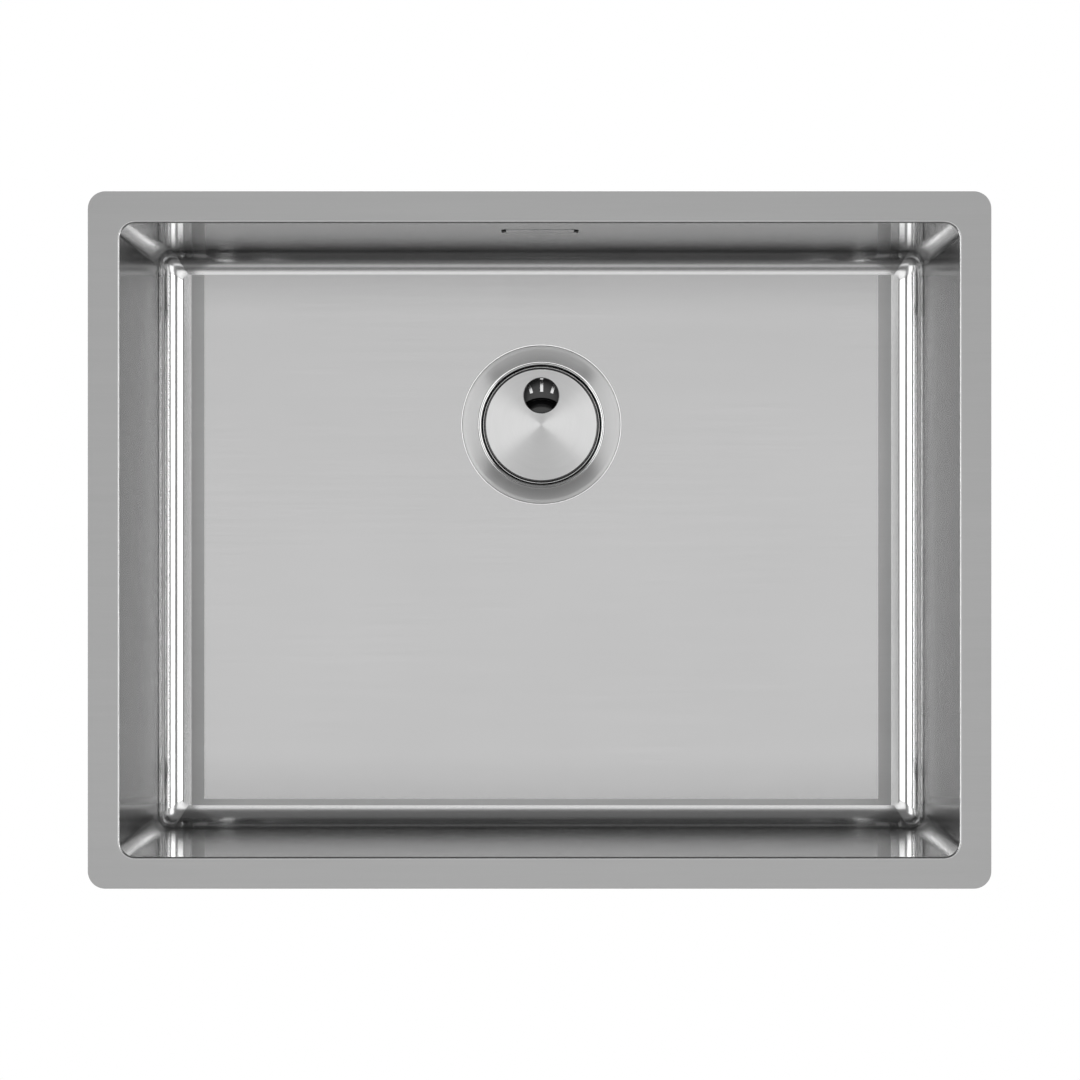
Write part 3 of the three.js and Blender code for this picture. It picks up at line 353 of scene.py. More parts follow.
class Graph:
    """A material's nodes while they are put together."""

    def __init__(self, name: str) -> None:
        """Makes the material with its shader.

        Args:
            name: The material's name.
        """
        self.material = bpy.data.materials.new(name)
        self.material.use_nodes = True
        self.tree = self.material.node_tree
        self.tree.nodes.clear()
        self.shader = self.add("ShaderNodeBsdfPrincipled")
        self.output = self.add("ShaderNodeOutputMaterial")
        self.link(self.shader.outputs["BSDF"], self.output.inputs["Surface"])
        self.place = self.add("ShaderNodeTexCoord").outputs["Object"]

    def add(self, kind: str, **settings: object) -> bpy.types.Node:
        """Adds a node.

        Args:
            kind: The node's type.
            settings: Its properties.

        Returns:
            The node.
        """
        node = self.tree.nodes.new(kind)
        for name, value in settings.items():
            setattr(node, name, value)
        return node

    def link(self, source: Socket, target: Socket) -> None:
        """Connects two sockets."""
        self.tree.links.new(source, target)

    def feed(self, target: Socket, value: object) -> None:
        """Feeds an input.

        Args:
            target: The input.
            value: The socket or the constant that it gets.
        """
        if isinstance(value, Socket):
            self.link(value, target)
        else:
            target.default_value = value

    def dress(self, values: dict[str, object]) -> None:
        """Feeds the shader's inputs by name."""
        for name, value in values.items():
            self.feed(self.shader.inputs[name], value)

    def fed(self, node: bpy.types.Node, values: Sequence[object], output: int = 0) -> Socket:
        """Feeds a node's inputs in order.

        Args:
            node: The node.
            values: The sockets or constants that its inputs get.
            output: Which of its outputs is wanted.

        Returns:
            That output.
        """
        for target, value in zip(node.inputs, values):
            self.feed(target, value)
        return node.outputs[output]

    def maths(self, operation: str, *values: object) -> Socket:
        """Adds a Math node on sockets or numbers, and returns what it gives."""
        return self.fed(self.add("ShaderNodeMath", operation=operation), values)

    def vector(self, operation: str, *values: object, output: int = 0) -> Socket:
        """Adds a Vector Math node on sockets or vectors, and returns one of its outputs."""
        return self.fed(self.add("ShaderNodeVectorMath", operation=operation), values, output)

    def noise(self, place: Socket, scale: Point, detail: float = 2, rough: float = 0.5) -> Socket:
        """Adds noise on stretched coordinates.

        Args:
            place: The coordinates.
            scale: How much each axis is stretched, in waves a metre.
            detail: How many finer layers are added.
            rough: How strong the finer layers are.

        Returns:
            The noise's value, around a half.
        """
        node = self.add("ShaderNodeTexNoise", noise_dimensions="3D")
        self.feed(node.inputs["Vector"], self.vector("MULTIPLY", place, scale))
        self.feed(node.inputs["Scale"], 1)
        self.feed(node.inputs["Detail"], detail)
        self.feed(node.inputs["Roughness"], rough)
        return node.outputs["Fac"]

    def ranged(self, value: Socket, low: float, high: float, spread: float = 0.25) -> Socket:
        """Maps noise around a half onto a range of numbers.

        Args:
            value: The noise.
            low: What its low end becomes.
            high: What its high end becomes.
            spread: How far from a half its ends are taken to be.

        Returns:
            The mapped value.
        """
        node = self.add("ShaderNodeMapRange", clamp=True)
        return self.fed(node, (value, 0.5 - spread, 0.5 + spread, low, high))

    def tinted(self, value: Socket, low: Point, high: Point) -> Socket:
        """Mixes two colours.

        Args:
            value: How much of the second colour there is, from 0 to 1.
            low: The first colour.
            high: The second colour.

        Returns:
            The mixed colour.
        """
        node = self.add("ShaderNodeMix", data_type="RGBA")
        self.feed(node.inputs["Factor"], value)
        self.feed(node.inputs[6], (*low, 1))
        self.feed(node.inputs[7], (*high, 1))
        return node.outputs[2]

    def bumped(self, height: Socket, depth: float, strength: float) -> Socket:
        """Raises the surface.

        Args:
            height: Its height, from 0 to 1.
            depth: What a height of 1 is, in metres.
            strength: How much of it shows.

        Returns:
            The raised surface's normal.
        """
        node = self.add("ShaderNodeBump")
        self.feed(node.inputs["Strength"], strength)
        self.feed(node.inputs["Distance"], depth)
        self.feed(node.inputs["Height"], height)
        return node.outputs["Normal"]


def grey(value: float, tint: float = 0) -> Point:
    """Gives a grey, a little bluer or warmer by the tint."""
    return (value * (1 - tint), value, value * (1 + tint))


@dataclass(frozen=True)
class BrushedSteel:
    """Stainless steel with fine straight or turned brush lines."""

    name: str
    grain: Grain  # which way the lines run
    tone: float  # the steel's reflectance
    roughness: float  # how blurred its reflections are
    pull: float  # how much more they blur across the lines than along them
    contrast: float = 0.02  # how much the lines differ in tone and roughness
    centre: Point = (0, 0, 0)  # the point round which turned lines run
    depth: float = 0.0006 * MM  # the lines' height

    FINE = 2600.0  # brush lines a metre, across them
    BROAD = 260.0  # darker and lighter bands of lines
    ALONG = 16.0  # how often a line ends, along it
    FINE_SHARE = 0.65  # how much of the pattern is lines, where the rest is bands
    CLOUDS = 9.0  # patches a metre that differ in blur

    def material(self) -> bpy.types.Material:
        """Builds the material.

        Returns:
            The material.
        """
        graph = Graph(self.name)
        place = graph.vector("SUBTRACT", graph.place, self.centre)
        if self.grain is Grain.ROUND_Z:
            fine, broad = (self._turned_noise(graph, place, lines) for lines in (self.FINE, self.BROAD))
        else:
            run = tuple(self.ALONG if part else self.FINE for part in self.grain.value)
            band = tuple(self.ALONG / 3 if part else self.BROAD for part in self.grain.value)
            fine, broad = graph.noise(place, run, 3, 0.6), graph.noise(place, band, 2)
        shares = ((fine, self.FINE_SHARE), (broad, 1 - self.FINE_SHARE))
        mixed = graph.maths("ADD", *(graph.maths("MULTIPLY", noise, share) for noise, share in shares))
        low, high = grey(self.tone * (1 - self.contrast)), grey(self.tone * (1 + self.contrast))
        swing = self.roughness * self.contrast
        lines = graph.ranged(mixed, self.roughness + swing, self.roughness - swing, 0.2)
        cloud = graph.ranged(graph.noise(graph.place, (self.CLOUDS,) * 3, 3), -0.004, 0.004)
        graph.dress({
            "Base Color": graph.tinted(graph.ranged(mixed, 0, 1, 0.2), low, high),
            "Roughness": graph.maths("ADD", lines, cloud),
            "Metallic": 1,
            "Anisotropic": self.pull,
            "Tangent": self._across(graph, place),
            "Normal": graph.bumped(fine, self.depth, 0.6),
        })
        return graph.material

    def _turned_noise(self, graph: Graph, place: Socket, lines: float) -> Socket:
        """Adds noise in rings, which changes quickly with the radius and slowly round it.

        Args:
            graph: The material's nodes.
            place: The coordinates, measured from the rings' centre.
            lines: The rings a metre.

        Returns:
            The noise's value, around a half.
        """
        flat = graph.vector("MULTIPLY", place, (1, 1, 0))
        way = graph.vector("MULTIPLY", graph.vector("NORMALIZE", flat), (1.3, 1.3, 0))
        height = graph.vector("DOT_PRODUCT", place, (0, 0, 1), output=1)
        reach = graph.maths("ADD", graph.vector("LENGTH", flat, output=1), height)
        spot = graph.vector("MULTIPLY_ADD", graph.maths("MULTIPLY", reach, lines), (0, 0, 1), way)
        return graph.noise(spot, (1, 1, 1), 3, 0.6)

    def _across(self, graph: Graph, place: Socket) -> Socket:
        """Gives the direction across the lines, along which reflections are drawn out.

        Args:
            graph: The material's nodes.
            place: The coordinates, measured from the centre of turned lines.

        Returns:
            The direction.
        """
        turned_lines = self.grain is Grain.ROUND_Z
        line = graph.vector("CROSS_PRODUCT", (0, 0, 1), place) if turned_lines else self.grain.value
        normal = graph.add("ShaderNodeNewGeometry").outputs["Normal"]
        return graph.vector("NORMALIZE", graph.vector("CROSS_PRODUCT", normal, line))


@dataclass(frozen=True)
class PlainSteel:
    """Polished or mill-finished metal, without lines."""

    name: str
    tone: float  # the metal's reflectance
    roughness: float  # how blurred its reflections are
    cloud: float  # how much the blur differs from place to place
    grit: float = 0.002 * MM  # the height of its fine unevenness
    tint: float = 0.0  # how blue it is, or how warm below 0

    CLOUDS = 22.0  # patches a metre that differ in tone and blur
    GRITS = 900.0  # bumps a metre

    def material(self) -> bpy.types.Material:
        """Builds the material.

        Returns:
            The material.
        """
        graph = Graph(self.name)
        wide = graph.noise(graph.place, (self.CLOUDS,) * 3, 4, 0.6)
        fine = graph.noise(graph.place, (self.GRITS,) * 3, 2)
        low, high = grey(self.tone * 0.96, self.tint), grey(self.tone * 1.03, self.tint)
        graph.dress({
            "Base Color": graph.tinted(graph.ranged(wide, 0, 1), low, high),
            "Roughness": graph.ranged(wide, self.roughness - self.cloud, self.roughness + self.cloud),
            "Metallic": 1,
            "Normal": graph.bumped(fine, self.grit, 0.5),
        })
        return graph.material


@dataclass(frozen=True)
class Moulded:
    """Moulded plastic or rubber with a fine surface texture."""

    name: str
    colour: Point
    roughness: float  # how matt it is
    grain: float  # the texture's waves a metre
    depth: float  # the texture's height
    mottle: float = 0.06  # how much the colour differs from place to place
    sheen: float = 0.0  # a soft powdery sheen, as on rubber

    CLOUDS = 30.0  # patches a metre that differ in colour and blur

    def material(self) -> bpy.types.Material:
        """Builds the material.

        Returns:
            The material.
        """
        graph = Graph(self.name)
        wide = graph.noise(graph.place, (self.CLOUDS,) * 3, 4, 0.6)
        fine = graph.noise(graph.place, (self.grain,) * 3, 3, 0.6)
        low = tuple(part * (1 - self.mottle) for part in self.colour)
        high = tuple(min(1.0, part * (1 + self.mottle)) for part in self.colour)
        blur = graph.ranged(wide, self.roughness - 0.05, self.roughness + 0.05)
        graph.dress({
            "Base Color": graph.tinted(graph.ranged(wide, 0, 1), low, high),
            "Roughness": graph.maths("ADD", blur, graph.ranged(fine, -0.04, 0.04)),
            "Sheen Weight": self.sheen,
            "Normal": graph.bumped(fine, self.depth, 0.7),
        })
        return graph.material


Finish = BrushedSteel | PlainSteel | Moulded


@cache
def made(finish: Finish) -> bpy.types.Material:
    """Builds a finish's material the first time that it is asked for."""
    return finish.material()


LIP_STEEL = PlainSteel("lip_polished", 0.62, 0.09, 0.02)
# Painted shade: steel far darker than its own tone. It is used for the cup's throat and outer skin, and for
# the cover's edge, skirt and underside.
PAINTED_SHADE_STEEL = PlainSteel("cover_edge_painted_shade", 0.14, 0.15, 0.02)
NUT_STEEL = PlainSteel("nut_steel", 0.6, 0.22, 0.04)
PLATE_STEEL = BrushedSteel("overflow_plate_brushed", Grain.ALONG_X, 0.66, 0.22, 0.8)
BRASS = PlainSteel("brass_turned", 0.5, 0.25, 0.04, tint=-0.35)
PAD_RUBBER = Moulded("pad_black", (0.035, 0.035, 0.037), 0.75, 1200, 0.05 * MM, 0.12, 0.15)
SEAL_RUBBER = Moulded("seal_rubber_dark", (0.03, 0.03, 0.032), 0.6, 1800, 0.02 * MM, 0.1, 0.1)
BLACK_PLASTIC = Moulded("basket_black", (0.014, 0.014, 0.015), 0.2, 900, 0.002 * MM)
WHITE_PLASTIC = Moulded("body_white", (0.7, 0.7, 0.68), 0.38, 700, 0.015 * MM, 0.02)
HOSE_PLASTIC = Moulded("hose_white", (0.64, 0.64, 0.62), 0.45, 500, 0.02 * MM, 0.03)
NUT_PLASTIC = Moulded("union_grey", (0.3, 0.31, 0.32), 0.4, 900, 0.015 * MM, 0.03)


# ---------------------------------------------------------------- pieces


class Body(Enum):
    """The CAD bodies that pieces ride on."""

    SINK = "sink"
    BASKET = "basket"
    COVER = "cover"


@dataclass(frozen=True)
class Piece:
    """What a finished mesh is called and what it stands for."""

    name: str
    nodes: tuple[str, ...]  # the CAD nodes that it stands for
    slot: str  # the record's material slot, which nothing here reads
    body: Body = Body.SINK  # the CAD body that it rides on

    def finish(
        self,
        bm: Mesh,
        finishes: Sequence[Finish],
        place: Matrix = IDENTITY,
        wall: float = 0.0,
        soften: float = 0.0,
        crease: float = 0.6,
    ) -> None:
        """Makes the object from its mesh.

        Args:
            bm: The mesh, in metres. It is freed.
            finishes: Its finishes, by face index. With a wall, the last one is the skin that the wall adds.
            place: Where the mesh stands in the frame and how it is turned.
            wall: The sheet's thickness, added behind the faces, or none.
            soften: How far sharp edges are rounded.
            crease: Edges sharper than this angle are rounded.
        """
        bmesh.ops.transform(bm, matrix=place, verts=bm.verts)
        piece = linked(self.name, meshed(bm, self.name))
        for finish in finishes:
            piece.data.materials.append(made(finish))
        if wall:
            sheet = piece.modifiers.new("sheet", "SOLIDIFY")
            sheet.thickness = wall
            sheet.offset = -1
            sheet.use_even_offset = True
            sheet.material_offset = len(finishes)
            sheet.material_offset_rim = len(finishes)
        if soften:
            edges = piece.modifiers.new("soft edges", "BEVEL")
            edges.width = soften
            edges.segments = 2
            edges.limit_method = "ANGLE"
            edges.angle_limit = crease
        weighted = piece.modifiers.new("flat faces stay flat", "WEIGHTED_NORMAL")
        weighted.keep_sharp = True
        weighted.weight = 100
        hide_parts(*self.nodes)
        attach(piece, self.body.value)
        nodes = ", ".join(self.nodes) or "no node"
        log.info("%s rides on %s and stands for %s", self.name, self.body.value, nodes)

    def turn(self, profile: Profile, finish: Finish, soften: float, place: Matrix, sides: int) -> None:
        """Makes the object by turning a closed profile.

        Args:
            profile: Its points of radius and height.
            finish: The object's finish.
            soften: How far sharp edges are rounded.
            place: Where the profile's axis stands and how it is turned.
            sides: How many facets go round.
        """
        bm = bmesh.new()
        turned(bm, profile, sides, closed=True)
        skinned(bm)
        self.finish(bm, [finish], place, soften=soften)


def refinished(node: str, finish: Finish) -> None:
    """Gives a CAD node whose shape stays its finish.

    Args:
        node: The node.
        finish: Its finish.
    """
    mesh = bpy.data.objects[node].data
    mesh.materials.clear()
    mesh.materials.append(made(finish))
    log.info("%s keeps its CAD shape, in %s", node, finish.name)


# ---------------------------------------------------------------- the bowl


class Zone(IntEnum):
    """The shell's parts, as face indices; they differ in grain and blur, and in painted light and shade set
    zone by zone.
    """

    FLANGE = 0
    FLOOR = 1
    BACK_WALL = 2
    END_WALL = 3
    SWEPT = 4
    LONG_SWEPT = 5
    STRIP_IN = 6
    STRIP_OUT = 7
    CORNER = 8
    SEAM = 9
    FRONT_WALL = 10
    RIM = 11
    OUTSIDE = 12


# Painted light and shade: the one steel sheet gets its own tone in each zone instead of a single tone. It is
# lighter where it mirrors the lamps (front wall, end roundings with the drain seat, floor strips) and darker
# where it lies in shade (end walls, the shade lines).
SHELL_FINISHES = {
    Zone.FLANGE: BrushedSteel("flange_brushed", Grain.ALONG_X, 0.414, 0.42, 0.5),
    Zone.FLOOR: BrushedSteel("floor_brushed", Grain.ALONG_X, 0.373, 0.17, 1.0),
    Zone.BACK_WALL: BrushedSteel("back_wall_brushed", Grain.ALONG_X, 0.45, 0.12, 1.0),
    Zone.END_WALL: BrushedSteel("end_walls_brushed_painted_shade", Grain.ALONG_Y, 0.28, 0.2, 1.0),
    Zone.SWEPT: PlainSteel("end_roundings_polished_painted_light", 0.94, 0.1, 0.01),
    Zone.LONG_SWEPT: BrushedSteel("long_roundings_brushed", Grain.ALONG_X, 0.46, 0.15, 1.0),
    Zone.STRIP_IN: BrushedSteel("floor_strip_painted_reflection", Grain.ALONG_X, 0.7, 0.42, 1.0),
    Zone.STRIP_OUT: BrushedSteel("floor_strip_bright_painted_reflection", Grain.ALONG_X, 0.86, 0.25, 1.0),
    Zone.CORNER: PlainSteel("corners_polished", 0.58, 0.2, 0.015),
    Zone.SEAM: BrushedSteel("floor_painted_shade_line", Grain.ALONG_Y, 0.2, 0.3, 0.9),
    Zone.FRONT_WALL: BrushedSteel("front_wall_brushed_painted_light", Grain.ALONG_X, 0.9, 0.12, 1.0),
    Zone.RIM: PlainSteel("rim_satin", 0.42, 0.2, 0.02),
    Zone.OUTSIDE: PlainSteel("shell_outside_dull", 0.5, 0.42, 0.05, 0.01 * MM),
}


@dataclass
class Bowl:
    """The steel shell with its flange, as one sheet seen from inside and given its thickness behind."""

    width: float = 530 * MM  # the opening's inside, left to right
    breadth: float = 400 * MM  # the opening's inside, front to back
    depth: float = 200 * MM  # from the flange down to the floor
    sheet: float = 1 * MM  # the steel's thickness
    flange: float = 20 * MM  # the flange's width
    flange_corner: float = 11 * MM  # its outer corners' radius
    upright_corner: float = 10 * MM  # the upright corners' radius at the walls
    floor_corner: float = 4 * MM  # the corners' radius where the floor's rounding ends
    fillet: float = 15 * MM  # the rounding between walls and floor
    rim: float = 1.25 * MM  # the rounding between flange and walls
    recess: float = 55.2 * MM  # the pressed drain seat's radius at the floor
    seat: float = 54.2 * MM  # its radius at its foot
    seat_drop: float = 7 * MM  # its foot below the floor
    seat_fold: float = 0.4 * MM  # the rounding of its two folds
    drain_hole: float = 45 * MM  # the hole's radius
    slot: Point = (50 * MM, 26 * MM, 5 * MM)  # the overflow cut-out: width, height and corner
    slot_drop: float = 51 * MM  # its centre below the flange
    strip_inner: float = 235 * MM  # from the middle to the floor's end strips, whose lighter tone is a painted reflection of the roundings
    strip_outer: float = 244 * MM  # from the middle to the strips' outer parts, with less blur and a brighter painted reflection
    strip_front: float = 180.5 * MM  # from the middle to the narrow rough strip along the floor's front, whose lighter tone is a painted reflection
    shade_line: float = 249.2 * MM  # from the middle to the painted shade lines, dark steel where the end roundings begin
    corner_steps: int = 12  # facets in a rounded corner
    rim_steps: int = 5  # facets in the rim's rounding
    fillet_steps: int = 16  # facets in the floor's rounding
    seat_sides: int = 96  # facets round the drain seat

    STRAIGHT = 0.001  # a normal that leans less than this counts as square to an axis

    def build(self) -> None:
        """Models the shell's inside from rings, cuts its holes and dresses it."""
        bm = bmesh.new()
        self._flange_and_walls(bm)
        self._floor_and_seat(bm, self._floor_rounding(bm))
        bmesh.ops.remove_doubles(bm, verts=bm.verts, dist=MERGE)
        skinned(bm)
        facing_up(bm)
        finishes = [SHELL_FINISHES[zone] for zone in Zone]
        Piece("bowl_shell", ("sink_bowl",), "bowl_steel").finish(bm, finishes, wall=self.sheet)

    def _outline(self, bm: Mesh, grow: float, corner: float, z: float) -> list[Edge]:
        """Adds the opening's outline.

        Args:
            bm: The shell's mesh.
            grow: How far it is grown on all sides.
            corner: Its corners' radius.
            z: Its height.

        Returns:
            Its edges.
        """
        size = (self.width + 2 * grow, self.breadth + 2 * grow, corner)
        return rounded_ring(bm, size, Matrix.Translation((0, 0, z)), self.corner_steps)

    def _zoned(self, faces: Iterable[Face], long: Zone, short: Zone) -> None:
        """Sorts the faces all round the bowl into zones by the side that they belong to.

        Args:
            faces: The faces.
            long: The zone along the two long sides.
            short: The zone along the two short sides. The corners have a zone of their own.
        """
        for face in faces:
            if abs(face.normal.x) < self.STRAIGHT:
                face.material_index = long
            elif abs(face.normal.y) < self.STRAIGHT:
                face.material_index = short
            else:
                face.material_index = Zone.CORNER

    def _flange_and_walls(self, bm: Mesh) -> None:
        """Adds the flange, the rim's rounding and the four walls.

        Args:
            bm: The shell's mesh.
        """
        outer = self._outline(bm, self.flange, self.flange_corner, 0)
        rings = []
        for step in range(self.rim_steps + 1):
            outward, down = quarter(step, self.rim_steps)
            grow = self.rim * outward
            rings.append(self._outline(bm, grow, self.upright_corner + grow, -self.rim * down))
        for face in bridge(bm, outer, rings[0]):
            face.material_index = Zone.FLANGE
        for face in banded(bm, rings):
            face.material_index = Zone.RIM
        walls = bridge(bm, rings[-1], self._outline(bm, 0, self.upright_corner, self.fillet - self.depth))
        # Painted light and shade: the front wall takes a light tone and the end walls a dark one; the back
        # wall gets its own tone below.
        self._zoned(walls, Zone.FRONT_WALL, Zone.END_WALL)
        self._cut_overflow(bm, max(walls, key=lambda face: face.calc_center_median().y))

    def _cut_overflow(self, bm: Mesh, wall: Face) -> None:
        """Replaces the back wall's face by one with the overflow's cut-out.

        Args:
            bm: The shell's mesh.
            wall: The back wall's face.
        """
        edges = list(wall.edges)
        bmesh.ops.delete(bm, geom=[wall], context="FACES_ONLY")
        place = placed((0, self.breadth / 2, -self.slot_drop), QUARTER_TURN)
        for face in fill(bm, [*edges, *rounded_ring(bm, self.slot, place)], (0, -1, 0)):
            face.material_index = Zone.BACK_WALL

    def _floor_rounding(self, bm: Mesh) -> list[Edge]:
        """Adds the rounding from the walls to the floor.

        Args:
            bm: The shell's mesh.

        Returns:
            Its lower ring.
        """
        rings = []
        for step in range(self.fillet_steps + 1):
            above, inward = quarter(step, self.fillet_steps)
            corner = self.upright_corner + (self.floor_corner - self.upright_corner) * inward
            rings.append(self._outline(bm, -self.fillet * inward, corner, self.fillet * above - self.depth))
        self._zoned(banded(bm, rings), Zone.LONG_SWEPT, Zone.SWEPT)
        return rings[-1]

    def _floor_and_seat(self, bm: Mesh, floor_ring: Sequence[Edge]) -> None:
        """Adds the seat pressed in round the drain hole, and the floor with its strips of painted reflection
        and its painted shade lines.

        Args:
            bm: The shell's mesh.
            floor_ring: The lower edges of the floor's rounding.
        """
        centre, fold, foot = (0, WASTE_BACK, -self.depth), self.seat_fold, -self.seat_drop
        steps = [(self.recess + fold, 0), (self.recess + 0.4 * fold, -0.1 * fold)]
        steps += [(self.recess + 0.1 * fold, -0.4 * fold), (self.recess, -fold), (self.seat, foot + fold)]
        steps += [(self.seat - 0.3 * fold, foot + 0.3 * fold), (self.seat - fold, foot)]
        rings = [ring(bm, radius, z, self.seat_sides, centre) for radius, z in steps]
        hole = ring(bm, self.drain_hole, foot, self.seat_sides, centre)
        # The drain seat takes the end roundings' light tone, which is painted light.
        for face in banded(bm, rings) + fill(bm, [*rings[-1], *hole], (0, 0, 1)):
            face.material_index = Zone.SWEPT
        floor = fill(bm, [*floor_ring, *rings[0]], (0, 0, 1))
        ends = (self.strip_inner, self.strip_outer, self.shade_line)
        for reach in (*ends, *(-end for end in ends)):
            floor = sliced(bm, floor, (reach, 0, 0), (1, 0, 0))
        # Beyond each line the floor takes the next zone: first the strips of painted reflection, then a
        # painted shade line.
        for face in sliced(bm, floor, (0, -self.strip_front, 0), (0, 1, 0)):
            middle = face.calc_center_median()
            beyond = max(sum(abs(middle.x) > end for end in ends), int(-middle.y > self.strip_front))
            face.material_index = (Zone.FLOOR, Zone.STRIP_IN, Zone.STRIP_OUT, Zone.SEAM)[beyond]


@dataclass
class SoundPads:
    """The rubber sheets glued to the shell's outside, each with the place and size of its CAD node."""

    walls: tuple[str, ...] = ("pad_left", "pad_right", "pad_front", "pad_back")
    floor: tuple[str, ...] = ("pad_floor_front", "pad_floor_left", "pad_floor_right")
    corner: float = 12 * MM  # their corners' radius
    edge: float = 0.7 * MM  # their edges' rounding

    def build(self) -> None:
        """Models each sheet with round corners and soft edges."""
        turns = (Matrix.Rotation(QUARTER_TURN, 4, "Y"), Matrix.Rotation(QUARTER_TURN, 4, "X"), Matrix())
        for node in (*self.walls, *self.floor):
            low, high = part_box(node)
            size, middle = high - low, (low + high) / 2
            thin = min(range(3), key=lambda axis: size[axis])
            flat = turns[thin].to_3x3().inverted() @ size
            place = Matrix.Translation(middle) @ turns[thin]
            bm = bmesh.new()
            face = rounded_face(bm, (abs(flat.x), abs(flat.y), self.corner), place)
            back = -face.normal * size[thin]
            bmesh.ops.translate(bm, verts=bm.verts, vec=-back / 2)
            thickened(bm, [face], back)
            skinned(bm)
            Piece(f"sheet_{node}", (node,), "pad_rubber").finish(bm, [PAD_RUBBER], soften=self.edge)


# ---------------------------------------------------------------- the waste


class CupSkin(IntEnum):
    """The cup's parts, as face indices; the throat's dark steel is painted shade."""

    FLANGE = 0
    LIP = 1
    INSIDE = 2
    # Painted shade; it also dresses the skin that the cup's wall adds behind.
    THROAT = 3


CUP_FINISHES = {
    CupSkin.FLANGE: BrushedSteel("flange_turned", Grain.ROUND_Z, 0.5, 0.33, 1.0, 0.03, (0, WASTE_BACK, 0)),
    CupSkin.LIP: LIP_STEEL,
    CupSkin.INSIDE: PlainSteel("cup_inside", 0.45, 0.1, 0.02),
    CupSkin.THROAT: PAINTED_SHADE_STEEL,
}


